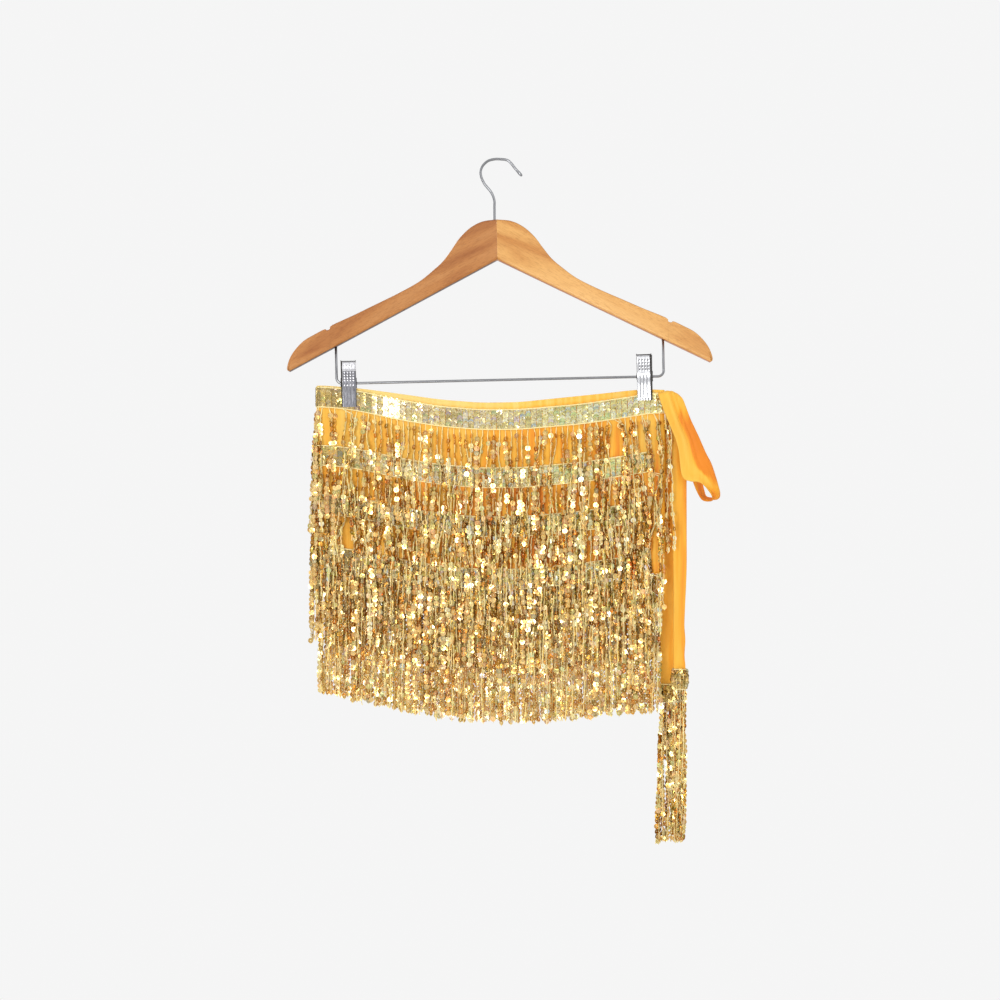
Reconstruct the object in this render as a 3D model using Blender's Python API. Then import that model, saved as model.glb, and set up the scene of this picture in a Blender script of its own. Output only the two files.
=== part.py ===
"""Belly dance hip scarf, folded double and clipped to a wooden trouser hanger.

Lengths in the tables and constants are millimetres; the meshes are made in metres.
The origin is the point of the hook's inner side that rests on a nail or rail.
+X runs to the scarf's tied end, +Y away from the viewer, +Z up.
"""

import math

import bmesh
import bpy
import numpy as np
from mathutils import Matrix, Vector

MM = 0.001
CLEARANCE = 0.3

# Hanger, in its own upright frame before the small tilt.
HANGER_TILT = math.radians(1.3)
MITRE_X = -5.6
BAR_REACH = 170.4
BAR_Y = -28.0
SWEEP = BAR_Y / BAR_REACH
# Columns: depth of the outline, how far it is inset.
WOOD_ROUNDING = ((-6.0, 2.2), (-5.4, 0.7), (-4.0, 0.0), (4.0, 0.0), (5.4, 0.7), (6.0, 2.2))
# Columns: along, height.
WOOD_TOP = (
    (0.0, -63.0),
    (15.0, -65.3),
    (28.0, -72.0),
    (39.5, -83.0),
    (48.0, -95.0),
    (57.0, -107.0),
    (67.0, -116.3),
    (83.0, -129.0),
    (105.5, -141.5),
    (129.0, -153.0),
    (152.0, -164.2),
    (173.2, -174.0),
    (176.0, -178.2),
    (178.8, -179.3),
    (181.6, -178.5),
    (191.0, -183.3),
    (202.4, -190.0),
    (211.0, -198.6),
    (216.8, -207.4),
    (219.8, -216.0),
    (220.0, -220.2),
    (218.0, -222.0),
)
WOOD_ROOT_BOTTOM = -105.6

WIRE_RADIUS = 1.4
WIRE_SIDES = 8
# Columns: x, z.
HOOK_PATH = (
    (-7.8, -88.0),
    (-7.8, -65.0),
    (-7.6, -50.0),
    (-7.6, -42.0),
    (-10.6, -33.5),
    (-18.0, -23.6),
    (-21.4, -13.8),
    (-19.6, -6.2),
    (-13.6, -0.4),
    (-6.6, 1.5),
    (0.0, 1.4),
    (7.2, 0.2),
    (11.4, -3.4),
    (15.4, -8.8),
    (22.4, -17.0),
)
HOOK_STEPS = 3
TIP_SHARE = 0.6
BORE_TOP = -55.0
BORE_FOOT = -89.0

BAR_RADIUS = 1.35
BAR_SIDES = 8
BAR_Z = -234.75
BAR_BEND = 6.0
BAR_BEND_STEPS = 4
BAR_TOP = -187.5
HOLE_SIDES = 12
HOLE_TOP = -186.8
HOLE_FOOT = -215.0

# Clips: half widths across the bar; profiles as depth and height from the bar's axis.
CLIP_X = (-163.5, 144.9)
CLIP_SHEET = 0.8
# Columns: depth, height.
CLIP_PROFILE = (
    (-11.0, 24.0),
    (-9.4, 20.5),
    (-7.8, 13.0),
    (-5.6, 5.0),
    (-4.8, 0.0),
    (-5.0, -8.0),
    (-4.5, -16.0),
    (-3.65, -24.8),
)
CLIP_HALF = 7.5
CLIP_FRONT_EARS = 6.4
CLIP_BACK_EARS = 7.5
# Columns: depth, height.
EAR_PROFILE = (
    (-4.9, 6.2),
    (-1.6, 3.6),
    (1.6, 3.0),
    (2.7, 1.2),
    (2.7, -1.2),
    (1.4, -2.6),
    (-1.6, -2.7),
    (-3.6, -3.6),
    (-4.9, -4.8),
)
SPRING_WIRE = 0.45
SPRING_RADIUS = 2.35
SPRING_TURNS = 3.5
SPRING_STEPS = 8
SPRING_HALF = 4.2
SPRING_SIDES = 5
SPRING_LEG = (5.2, 13.0)

# Scarf. "Down" is the distance below the unrolled hem line, across both panels.
CLOTH = 1.0
# Columns: x, height, rolled.
TOP_EDGE = (
    (-190.0, -240.9, 6.0),
    (-175.0, -241.2, 6.0),
    (-158.0, -242.7, 5.5),
    (-146.0, -243.6, 4.6),
    (-104.7, -249.2, 1.2),
    (-63.0, -255.2, 0.5),
    (-21.3, -258.5, 0.3),
    (20.3, -258.0, 0.0),
    (82.9, -251.3, -1.2),
    (141.2, -245.0, 1.2),
    (158.9, -244.4, 4.0),
    (172.0, -246.0, 4.5),
)
EDGE_BLUR = 10.0
FOLD_X = -187.6
FOLD_GAP = 2.4
BORDER_X = 156.0
END_X = 170.5
HALF_GAP = 1.7
PINCHED_GAP = 0.7
PINCH_REACH = (10.0, 27.0)
FOLD_OPENING = 30.0
# Columns: half waves between the clips, height.
WAVES = ((1, 3.0), (3, 3.0), (4, -1.2), (5, 1.5))
WAVE_AT_CLIPS = 0.6

BAND_TOPS = (7.5, 68.0, 119.0, 173.5)
BAND_HEIGHT = 21.0
HEM = BAND_TOPS[3] + BAND_HEIGHT + 0.4
LIMP_FROM = BAND_TOPS[0] + BAND_HEIGHT
LIMP_BY = BAND_TOPS[1]
FRONT_CELLS = 55
FOLD_CELLS = 4
FIRST_BAND_EXTRA = 2
BAND_THICK = 1.4
BAND_INSIDE = CLOTH / 2 + CLEARANCE
STRAND_THICK = 1.0
STRAND_WIDE = 5.0
STRAND_INSIDE = BAND_INSIDE + 0.1
LAYER_STEP = 1.7
STRAND_LENGTH = 140.0
LENGTH_SPREAD = 7.0
SLANT_SPREAD = 4.4
FOLD_FLARE = 2.0
FOLD_STRAND_SHARE = 0.7

# Tied end.
KNOT_CENTRE = (180.0, -30.0, -256.5)
KNOT_RADII = (9.2, 7.5, 8.0)
KNOT_ROWS = 8
KNOT_SIDES = 16
KNOT_CREASES = 3
KNOT_CREASE_SHARE = 0.035
LOOP_CLOTH = 1.2
# Columns: share of the strip's width from its left edge, how far a crease lifts it.
LOOP_ACROSS = ((0.0, 0.0), (0.28, -1.0), (0.5, 0.33), (0.76, 1.1), (1.0, 0.0))
# Columns: left x, left y, left z, right x, right y, right z.
LOOP = (
    (173.6, -22.6, -251.6, 186.4, -22.6, -250.6),
    (173.0, -30.0, -247.6, 186.6, -30.0, -246.9),
    (172.8, -38.4, -251.0, 187.6, -37.8, -249.2),
    (176.4, -39.8, -262.5, 189.8, -38.6, -255.6),
    (179.2, -40.2, -281.4, 196.6, -38.0, -275.0),
    (183.2, -40.6, -304.2, 205.6, -37.0, -294.7),
    (187.6, -40.8, -334.5, 212.9, -36.0, -311.2),
    (195.7, -40.4, -340.3, 218.3, -35.0, -321.5),
    (203.1, -39.6, -340.8, 222.2, -33.0, -331.9),
    (209.4, -38.0, -343.4, 226.2, -31.0, -344.3),
    (216.5, -35.5, -350.8, 228.6, -28.0, -352.4),
    (220.4, -32.0, -357.2, 228.2, -24.0, -357.6),
    (219.8, -28.0, -360.8, 223.4, -20.0, -357.6),
    (211.8, -24.0, -360.4, 216.4, -16.4, -356.2),
    (206.8, -22.0, -353.6, 213.9, -15.0, -349.4),
    (201.6, -22.0, -341.1, 211.6, -15.0, -338.9),
    (197.3, -22.6, -323.3, 208.5, -16.0, -318.9),
    (191.4, -24.0, -297.1, 200.9, -19.0, -290.7),
    (185.6, -26.4, -268.4, 193.4, -23.6, -264.0),
)
LOOP_STEPS = 2

TAIL_CLOTH = 1.1
TAIL_LEG = 1.15
# Columns: z, middle x, y, width.
TAIL_FRONT = (
    (-264.3, 183.4, -30.6, 14.0),
    (-274.0, 185.4, -31.0, 14.8),
    (-300.0, 186.2, -31.4, 15.6),
    (-345.0, 186.1, -31.2, 15.4),
    (-390.0, 186.4, -31.0, 15.0),
    (-432.7, 186.7, -31.2, 14.2),
    (-470.0, 186.1, -30.8, 12.4),
    (-490.0, 185.7, -31.0, 11.8),
    (-505.5, 186.1, -31.2, 12.8),
    (-521.1, 185.8, -31.0, 11.8),
    (-533.0, 186.3, -31.0, 12.6),
    (-552.0, 186.3, -31.0, 12.8),
)
TAIL_BACK = (
    (-257.0, 179.6, -20.8, 12.0),
    (-272.0, 179.2, -17.6, 13.2),
    (-300.0, 178.6, -14.6, 13.0),
    (-345.0, 177.6, -14.2, 12.4),
    (-381.0, 177.2, -14.0, 12.0),
    (-444.0, 176.2, -14.3, 12.6),
    (-486.0, 174.6, -13.8, 13.2),
    (-517.6, 174.4, -14.2, 13.4),
    (-550.0, 175.0, -14.0, 12.8),
    (-567.0, 175.0, -14.0, 12.8),
)
# Columns: share of half width, legs from the middle.
TAIL_SECTION = (
    (0.86, 1.0),
    (0.3, 1.25),
    (-0.5, 1.0),
    (-0.94, 0.75),
    (-1.0, 0.0),
    (-0.94, -0.75),
    (-0.4, -1.0),
    (0.3, -0.8),
    (1.0, -1.05),
)

CUFF_WIDE = 17.4
CUFF_DEEP = 7.4
CUFF_WALL = 1.4
CUFF_CELLS = 16
CUFF_SIDE_SHARE = 1.6
TASSEL_STRAND = 1.1
TASSEL_WANDER = 2.4
TASSEL_STOPS = (0.5, 1.0)
# Columns: x, y, top z, bottom z, strand end z, spread.
TASSELS = {
    "tassel_front": (186.3, -31.0, -535.2, -556.4, -714.0, 1.6),
    "tassel_back": (175.0, -14.0, -552.8, -572.0, -719.0, 3.0),
}

CHIFFON = (1.0, 0.46, 0.05, 1.0)
SEQUIN = (0.8, 0.55, 0.16, 1.0)
WOOD = (0.68, 0.36, 0.14, 1.0)
STEEL = (0.62, 0.62, 0.64, 1.0)
CHROME = (0.8, 0.8, 0.82, 1.0)
DARK_STEEL = (0.12, 0.12, 0.13, 1.0)


def clear_scene():
    for old in list(bpy.data.objects):
        bpy.data.objects.remove(old, do_unlink=True)


def make_material(name, colour, metallic, roughness):
    material = bpy.data.materials.new(name)
    material.use_nodes = True
    shader = material.node_tree.nodes["Principled BSDF"]
    shader.inputs["Base Color"].default_value = colour
    shader.inputs["Metallic"].default_value = metallic
    shader.inputs["Roughness"].default_value = roughness
    return material


def make_object(name, points, faces, look, smooth=False):
    """A closed mesh from millimetre points, its faces turned outwards."""
    mesh = bpy.data.meshes.new(name)
    mesh.from_pydata([Vector(point) * MM for point in points], [], faces)
    shell = bmesh.new()
    shell.from_mesh(mesh)
    bmesh.ops.recalc_face_normals(shell, faces=shell.faces)
    shell.to_mesh(mesh)
    shell.free()
    for polygon in mesh.polygons:
        polygon.use_smooth = smooth
    obj = bpy.data.objects.new(name, mesh)
    mesh.materials.append(make_material(name, *look))
    bpy.context.scene.collection.objects.link(obj)
    return obj


def make_helper(name, points, faces):
    helper = make_object(name, points, faces, (DARK_STEEL, 0.0, 0.5))
    helper.hide_render = True
    helper.display_type = "WIRE"
    return helper


def use_boolean(target, helper, operation):
    modifier = target.modifiers.new(operation.lower(), "BOOLEAN")
    modifier.operation = operation
    modifier.object = helper
    modifier.solver = "EXACT"


def tilted(points):
    """Points of the upright hanger, turned to how it hangs."""
    turn = Matrix.Rotation(-HANGER_TILT, 3, "Y")
    return [turn @ Vector(point) for point in points]


def spline(rows, steps):
    """Catmull-Rom rows through the given rows, with steps intervals between each two."""
    table = np.array(rows, float)
    ends = np.vstack([2 * table[0] - table[1], table, 2 * table[-1] - table[-2]])
    found = []
    for i in range(1, len(ends) - 2):
        before, start, end, after = ends[i - 1:i + 3]
        for step in range(steps):
            t = step / steps
            bend = 2 * before - 5 * start + 4 * end - after
            twist = 3 * start - before - 3 * end + after
            found.append(start + 0.5 * t * (end - before + t * (bend + t * twist)))
    found.append(table[-1])
    return np.array(found)


def between_rings(rings, closed_ends=True):
    """Faces between rings of equal size, numbered one after another."""
    count = len(rings[0])
    faces = []
    for i in range(len(rings) - 1):
        for j in range(count):
            k = (j + 1) % count
            low, high = i * count, (i + 1) * count
            faces.append((low + j, low + k, high + k, high + j))
    if closed_ends:
        faces.append(tuple(range(count)))
        faces.append(tuple(range((len(rings) - 1) * count, len(rings) * count)))
    return faces


def tube(path, radii, sides):
    """Rings round a path, turned as little as possible from one to the next."""
    path = [Vector(point) for point in path]
    across = Vector((0.0, 1.0, 0.0))
    rings = []
    for i, point in enumerate(path):
        along = (path[min(i + 1, len(path) - 1)] - path[max(i - 1, 0)]).normalized()
        if abs(across.dot(along)) > 0.99:
            across = Vector((1.0, 0.0, 0.0))
        across = (across - along * across.dot(along)).normalized()
        up = along.cross(across)
        ring = []
        for j in range(sides):
            angle = 2 * math.pi * j / sides
            ring.append(point + radii[i] * (math.cos(angle) * across + math.sin(angle) * up))
        rings.append(ring)
    return rings


def flat(rings):
    return [point for ring in rings for point in ring]


def grid_solid(outer, inner):
    """Points and faces of a wall between two grids of the same shape."""
    rows, columns = len(outer), len(outer[0])
    points = flat(outer) + flat(inner)
    behind = rows * columns
    faces = []
    for i in range(rows - 1):
        for j in range(columns - 1):
            a = i * columns + j
            quad = (a, a + 1, a + columns + 1, a + columns)
            faces.append(quad)
            faces.append(tuple(behind + k for k in reversed(quad)))
    rim = [j for j in range(columns)]
    rim += [i * columns + columns - 1 for i in range(1, rows)]
    rim += [(rows - 1) * columns + j for j in range(columns - 2, -1, -1)]
    rim += [i * columns for i in range(rows - 2, 0, -1)]
    for a, b in zip(rim, rim[1:] + rim[:1]):
        faces.append((b, a, behind + a, behind + b))
    return points, faces


def grid_normals(grid):
    """Unit normals at the points of a grid."""
    down = np.gradient(grid, axis=0)
    along = np.gradient(grid, axis=1)
    normals = np.cross(down, along)
    return normals / np.linalg.norm(normals, axis=2, keepdims=True)


def sheet_solid(grid, wall):
    """A wall of even thickness about a grid of middle points."""
    grid = np.array(grid, float)
    normals = grid_normals(grid)
    outer = grid + normals * wall / 2
    inner = grid - normals * wall / 2
    return grid_solid(outer.tolist(), inner.tolist())


def uneven(number, salt):
    """A repeatable value from -0.5 to 0.5."""
    value = math.sin(number * 12.9898 + salt * 78.233) * 43758.5453
    return value - math.floor(value) - 0.5


def smooth_step(start, end, value):
    share = min(max((value - start) / (end - start), 0.0), 1.0)
    return share * share * (3 - 2 * share)


# Hanger.


def wood_outline():
    """Side view of one wing as distance from the mitre and height, closed at the root."""
    return [(s, z) for s, z in WOOD_TOP] + [(0.0, WOOD_ROOT_BOTTOM)]


def inset_outline(outline, inset):
    """The outline moved inwards; the root stays in the mitre plane."""
    moved = []
    for i, (s, z) in enumerate(outline):
        before = np.array(outline[i - 1])
        after = np.array(outline[(i + 1) % len(outline)])
        first = np.array((s, z)) - before
        second = after - np.array((s, z))
        first /= np.linalg.norm(first)
        second /= np.linalg.norm(second)
        along = first + second
        along /= np.linalg.norm(along)
        if s == 0.0:
            shift = np.array((0.0, -inset if z > WOOD_ROOT_BOTTOM else inset))
        else:
            shift = inset * np.array((along[1], -along[0]))
        moved.append((s + shift[0], z + shift[1]))
    return moved


def make_wing(name, side):
    outline = wood_outline()
    rings = []
    for depth, inset in WOOD_ROUNDING:
        ring = []
        for s, z in inset_outline(outline, inset):
            x = MITRE_X + side * (s + CLEARANCE / 2)
            ring.append((x, s * SWEEP + depth, z))
        rings.append(tilted(ring))
    wing = make_object(name, flat(rings), between_rings(rings), (WOOD, 0.0, 0.35))
    bar_hole = drill(name + "_bar_hole", MITRE_X + side * BAR_REACH, BAR_Y, HOLE_TOP, HOLE_FOOT,
                     BAR_RADIUS)
    use_boolean(wing, bar_hole, "DIFFERENCE")
    return wing


def drill(name, x, y, top, foot, wire):
    """An upright cutter that leaves a clearance round a wire."""
    rings = tube([(x, y, foot), (x, y, top)], [wire + CLEARANCE] * 2, HOLE_SIDES)
    rings = [tilted(ring) for ring in rings]
    return make_helper(name, flat(rings), between_rings(rings))


def make_hook():
    path = spline(HOOK_PATH, HOOK_STEPS)
    radii = [WIRE_RADIUS] * len(path)
    radii[-1] = TIP_SHARE * WIRE_RADIUS
    rings = [tilted(ring) for ring in tube([(x, 0.0, z) for x, z in path], radii, WIRE_SIDES)]
    make_object("hook", flat(rings), between_rings(rings), (STEEL, 1.0, 0.25), smooth=True)


def bar_path():
    half = []
    for step in range(BAR_BEND_STEPS + 1):
        angle = 0.5 * math.pi * step / BAR_BEND_STEPS
        x = BAR_REACH - BAR_BEND * (1 - math.cos(angle))
        half.append((x, BAR_Z + BAR_BEND * (1 - math.sin(angle))))
    half = [(BAR_REACH, BAR_TOP)] + half
    right = [(MITRE_X + x, BAR_Y, z) for x, z in half]
    left = [(MITRE_X - x, BAR_Y, z) for x, z in reversed(half)]
    return right + left


def make_bar():
    path = bar_path()
    rings = [tilted(ring) for ring in tube(path, [BAR_RADIUS] * len(path), BAR_SIDES)]
    make_object("bar", flat(rings), between_rings(rings), (STEEL, 1.0, 0.25), smooth=True)


# Clips.


def bar_place(x):
    """Moves a frame whose origin is on the bar's axis, and whose X runs along it, to x."""
    tilt = Matrix.Rotation(-HANGER_TILT, 4, "Y")
    return tilt @ Matrix.Translation((x, BAR_Y, BAR_Z))


def clip_turn(x):
    """The small turn that lays a clip's jaws flat to the cloth at x."""
    world_x = x * math.cos(HANGER_TILT) - BAR_Z * math.sin(HANGER_TILT)
    return Matrix.Rotation(math.atan(wave_slope(world_x) * WAVE_AT_CLIPS), 4, "Z")


def placed(place, points):
    return [place @ Vector(point) for point in points]


def make_jaw(name, x, face, ears):
    """A sheet jaw whose two ears carry the bar. Face is 1 in front of the bar, -1 behind it."""
    place = bar_place(x) @ clip_turn(x)
    grid = []
    for depth, height in CLIP_PROFILE:
        y = face * depth
        grid.append([(-CLIP_HALF, y, height), (CLIP_HALF, y, height)])
    points, faces = sheet_solid(grid, CLIP_SHEET)
    jaw = make_object(name, placed(place, points), faces, (CHROME, 1.0, 0.2))
    for side in (-1, 1):
        outer = [(side * ears, face * depth, height) for depth, height in EAR_PROFILE]
        inner = [(across - side * CLIP_SHEET, y, height) for across, y, height in outer]
        rings = [outer, inner]
        label = "left" if side < 0 else "right"
        ear = make_helper(f"{name}_{label}_ear", placed(place, flat(rings)), between_rings(rings))
        use_boolean(jaw, ear, "UNION")
    ends = [(-2 * CLIP_HALF, 0.0, 0.0), (2 * CLIP_HALF, 0.0, 0.0)]
    pin = tube(ends, [BAR_RADIUS + CLEARANCE] * 2, HOLE_SIDES)
    hole = make_helper(name + "_hole", placed(bar_place(x), flat(pin)), between_rings(pin))
    use_boolean(jaw, hole, "DIFFERENCE")
    return jaw


def make_spring(name, place):
    """A torsion spring round the bar, with a leg up inside each grip."""
    leg_depth, leg_height = SPRING_LEG
    path = [(-SPRING_HALF, -leg_depth, leg_height)]
    steps = int(SPRING_TURNS * SPRING_STEPS)
    for step in range(steps + 1):
        angle = math.pi + 2 * math.pi * step / SPRING_STEPS
        x = -SPRING_HALF + 2 * SPRING_HALF * step / steps
        path.append((x, SPRING_RADIUS * math.cos(angle), -SPRING_RADIUS * math.sin(angle)))
    path.append((SPRING_HALF, leg_depth, leg_height))
    rings = tube(path, [SPRING_WIRE] * len(path), SPRING_SIDES)
    points = placed(place, flat(rings))
    make_object(name, points, between_rings(rings), (DARK_STEEL, 1.0, 0.35), smooth=True)


def make_clips():
    for label, x in zip(("left", "right"), CLIP_X):
        make_jaw(f"clip_{label}_front", x, 1, CLIP_FRONT_EARS)
        make_jaw(f"clip_{label}_back", x, -1, CLIP_BACK_EARS)
        make_spring(f"clip_{label}_spring", bar_place(x))


# Scarf.


def clip_world_x():
    return [x * math.cos(HANGER_TILT) - BAR_Z * math.sin(HANGER_TILT) for x in CLIP_X]


def wave(x):
    """How far the doubled cloth stands behind the bar's plane between the clips."""
    left, right = clip_world_x()
    share = (x - left) / (right - left)
    return sum(height * math.sin(math.pi * count * share) for count, height in WAVES)


def wave_slope(x):
    return wave(x + 0.5) - wave(x - 0.5)


def stiffness(down):
    """1 at the clips, falling to 0 where the cloth hangs freely."""
    return min(max((LIMP_BY - down) / (LIMP_BY - LIMP_FROM), 0.0), 1.0)


def edge_row(x):
    """Height of the top edge at x and how much of the hem is rolled away there."""
    table = np.array(TOP_EDGE)
    spots = x + EDGE_BLUR * np.linspace(-1, 1, 5)
    height = np.interp(spots, table[:, 0], table[:, 1]).mean()
    rolled = np.interp(spots, table[:, 0], table[:, 2]).mean()
    return height, rolled


def half_gap(x, down):
    opened = HALF_GAP + (FOLD_GAP - HALF_GAP) * smooth_step(FOLD_X + FOLD_OPENING, FOLD_X, x)
    near, far = PINCH_REACH
    pinch = sum(smooth_step(far, near, abs(x - clip)) for clip in clip_world_x())
    return opened - (opened - PINCHED_GAP) * pinch * stiffness(down)


def middle_y(x, down):
    growth = 1 - (1 - WAVE_AT_CLIPS) * stiffness(down)
    return BAR_Y + wave(x) * growth


def on_scarf(x, angle, down, out):
    """The point this far down and out from the cloth; angle turns from front to back."""
    height, rolled = edge_row(x)
    reach = half_gap(x, down) + out
    y = middle_y(x, down) - math.cos(angle) * reach
    return (x - math.sin(angle) * reach, y, height + rolled - down)


def stations(extra):
    """Cell borders from the front panel's end round the fold to the back panel's end."""
    cell = (BORDER_X - FOLD_X) / FRONT_CELLS
    flat_x = [BORDER_X - cell * i for i in range(-extra, FRONT_CELLS)]
    front = [(x, 0.0) for x in flat_x]
    fold = [(FOLD_X, math.pi * j / FOLD_CELLS) for j in range(FOLD_CELLS + 1)]
    back = [(x, math.pi) for x in reversed(flat_x)]
    return front + fold + back


def make_base_panel():
    """The chiffon rectangle, one wall that turns round the fold."""
    places = [(END_X, 0.0)] + stations(FIRST_BAND_EXTRA) + [(END_X, math.pi)]
    grids = []
    for out in (CLOTH / 2, -CLOTH / 2):
        rows = []
        for down in (None, LIMP_FROM, LIMP_BY, HEM):
            rows.append([on_scarf(x, a, edge_row(x)[1] if down is None else down, out)
                         for x, a in places])
        grids.append(rows)
    points, faces = grid_solid(*grids)
    make_object("base_panel", points, faces, (CHIFFON, 0.0, 0.7), smooth=True)


def layers_out(tier, down):
    """How many layers of lower trims lie under a strand of this tier here."""
    starts = [BAND_TOPS[tier] + BAND_HEIGHT] + list(BAND_TOPS[tier + 1:])
    return float(np.interp(down, starts, range(len(starts))))


def strand_ring(tier, first, second, down, slant):
    """Four corners across a strand, kept flat to the cloth."""
    angle = (first[1] + second[1]) / 2
    x = (first[0] + second[0]) / 2
    in_fold = 0.01 < angle < math.pi - 0.01
    width = STRAND_WIDE
    level = STRAND_INSIDE + LAYER_STEP * layers_out(tier, down)
    start = BAND_TOPS[tier] + BAND_HEIGHT
    if in_fold:
        width = FOLD_STRAND_SHARE * STRAND_WIDE
        level += FOLD_FLARE * (down - start) / STRAND_LENGTH
    corners = []
    for side, out in ((-1, level + STRAND_THICK), (1, level + STRAND_THICK), (1, level), (-1, level)):
        shift = side * width / 2 + slant
        if in_fold:
            px, py, pz = on_scarf(x, angle, down, out)
            corners.append((px - math.cos(angle) * shift, py + math.sin(angle) * shift, pz))
        else:
            corners.append(on_scarf(x - math.cos(angle) * shift, angle, down, out))
    return corners


def strand_stops(tier, number):
    start = BAND_TOPS[tier] + BAND_HEIGHT
    end = start + STRAND_LENGTH + LENGTH_SPREAD * uneven(number, tier)
    return [down for down in BAND_TOPS[tier + 1:] if start < down < end] + [end]


def trim_name(tier):
    return f"trim_{tier + 1}"


def make_trim(tier):
    """A sequin band along the whole scarf, with every other cell let down as a strand."""
    extra = FIRST_BAND_EXTRA if tier == 0 else 0
    places = stations(extra)
    top, bottom = BAND_TOPS[tier], BAND_TOPS[tier] + BAND_HEIGHT
    outs = (BAND_INSIDE + BAND_THICK, BAND_INSIDE)
    points, faces = [], []
    for x, angle in places:
        for down, out in ((top, outs[0]), (top, outs[1]), (bottom, outs[1]), (bottom, outs[0])):
            points.append(on_scarf(x, angle, down, out))
    for i in range(len(places) - 1):
        a, b = 4 * i, 4 * i + 4
        faces.append((a, b, b + 3, a + 3))
        faces.append((a, a + 1, b + 1, b))
        faces.append((a + 1, a + 2, b + 2, b + 1))
        root = [a + 3, b + 3, b + 2, a + 2]
        if (i + tier) % 2:
            faces.append(tuple(root))
        else:
            add_strand(tier, i, places[i], places[i + 1], root, points, faces)
    faces.append((0, 1, 2, 3))
    last = len(places) * 4 - 4
    faces.append((last + 3, last + 2, last + 1, last))
    make_object(trim_name(tier), points, faces, (SEQUIN, 0.9, 0.3))


def add_strand(tier, number, first, second, root, points, faces):
    """Grows one strand down from the four points of its cell."""
    ring = root
    stops = strand_stops(tier, number)
    start = BAND_TOPS[tier] + BAND_HEIGHT
    lean = SLANT_SPREAD * uneven(number, tier + 7)
    for down in stops:
        slant = lean * (down - start) / STRAND_LENGTH
        corners = strand_ring(tier, first, second, down, slant)
        fresh = [len(points) + k for k in range(4)]
        points.extend(corners)
        for k in range(4):
            faces.append((ring[k], ring[(k + 1) % 4], fresh[(k + 1) % 4], fresh[k]))
        ring = fresh
    faces.append(tuple(ring))


# Ties.


def make_knot():
    """A rounded lump with a few soft creases across it."""
    rings = []
    for i in range(1, KNOT_ROWS):
        polar = math.pi * i / KNOT_ROWS
        ring = []
        for j in range(KNOT_SIDES):
            angle = 2 * math.pi * j / KNOT_SIDES
            crease = 1 - KNOT_CREASE_SHARE * (1 + math.cos(KNOT_CREASES * angle + polar))
            spot = (math.cos(angle) * math.sin(polar), math.sin(angle) * math.sin(polar),
                    math.cos(polar))
            ring.append([c + r * crease * s for c, r, s in zip(KNOT_CENTRE, KNOT_RADII, spot)])
        rings.append(ring)
    make_object("tie_knot", flat(rings), between_rings(rings), (CHIFFON, 0.0, 0.7), smooth=True)


def make_loop():
    """A broad strip over the knot, down, round its turned end and back up behind."""
    grid = []
    for row in spline(LOOP, LOOP_STEPS):
        left, right = row[:3], row[3:]
        grid.append([left + (right - left) * share for share, _ in LOOP_ACROSS])
    grid = np.array(grid)
    lift = np.array([lift for _, lift in LOOP_ACROSS])
    fade = np.sin(np.linspace(0, math.pi, len(grid)))
    grid += grid_normals(grid) * lift[None, :, None] * fade[:, None, None]
    points, faces = sheet_solid(grid, LOOP_CLOTH)
    make_object("tie_loop", points, faces, (CHIFFON, 0.0, 0.7), smooth=True)


def make_tail(name, table):
    """A hanging tie end, folded along its length so that its section is a flat J."""
    grid = []
    for z, x, y, width in table:
        half = (width - TAIL_CLOTH) / 2
        row = [(x + half * share, y + TAIL_LEG * leg, z) for share, leg in TAIL_SECTION]
        grid.append(row)
    points, faces = sheet_solid(grid, TAIL_CLOTH)
    make_object(name, points, faces, (CHIFFON, 0.0, 0.7), smooth=True)


def cuff_ring(x, y, z, inset):
    """A flattened ring with straight sides and round ends."""
    end = CUFF_DEEP / 2 - inset
    straight = (CUFF_WIDE - CUFF_DEEP) / 2
    ring = []
    for j in range(CUFF_CELLS):
        angle = 2 * math.pi * (j + 0.5) / CUFF_CELLS
        side = max(-1.0, min(1.0, CUFF_SIDE_SHARE * math.cos(angle)))
        ring.append((x + straight * side + end * math.cos(angle), y + end * math.sin(angle), z))
    return ring


def make_tassel(name, x, y, top, bottom, end, spread):
    """A cuff of the fringe trim rolled round the tie, and its strands."""
    rings = [
        cuff_ring(x, y, top, 0.0),
        cuff_ring(x, y, top, CUFF_WALL),
        cuff_ring(x, y, bottom, CUFF_WALL),
        cuff_ring(x, y, bottom, 0.0),
    ]
    points = flat(rings)
    faces = []
    for i in range(4):
        for j in range(CUFF_CELLS):
            k = (j + 1) % CUFF_CELLS
            a, b = i * CUFF_CELLS, (i + 1) % 4 * CUFF_CELLS
            if i != 2 or j % 2:
                faces.append((a + j, a + k, b + k, b + j))
            else:
                root = [a + j, a + k, b + k, b + j]
                hang_strand(root, (x, y, end, spread), j, points, faces)
    make_object(name, points, faces, (SEQUIN, 0.9, 0.3))


def hang_strand(root, place, number, points, faces):
    """Grows one tassel strand down from its cell of the cuff, outwards and a little unevenly."""
    x, y, end, spread = place
    ring = root
    corners = [np.array(points[index]) for index in root]
    middle = sum(corners) / 4
    finish = end + LENGTH_SPREAD * uneven(number, x)
    for share in TASSEL_STOPS:
        height = middle[2] + (finish - middle[2]) * share
        outwards = 2 * spread * (middle[0] - x) / CUFF_WIDE
        shift = share * (outwards + TASSEL_WANDER * uneven(number, y + share))
        fresh = [len(points) + k for k in range(4)]
        for corner in corners:
            spot = middle + (corner - middle) * TASSEL_STRAND
            points.append((spot[0] + shift, spot[1], height))
        for k in range(4):
            faces.append((ring[k], ring[(k + 1) % 4], fresh[(k + 1) % 4], fresh[k]))
        ring = fresh
    faces.append(tuple(ring))


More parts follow.
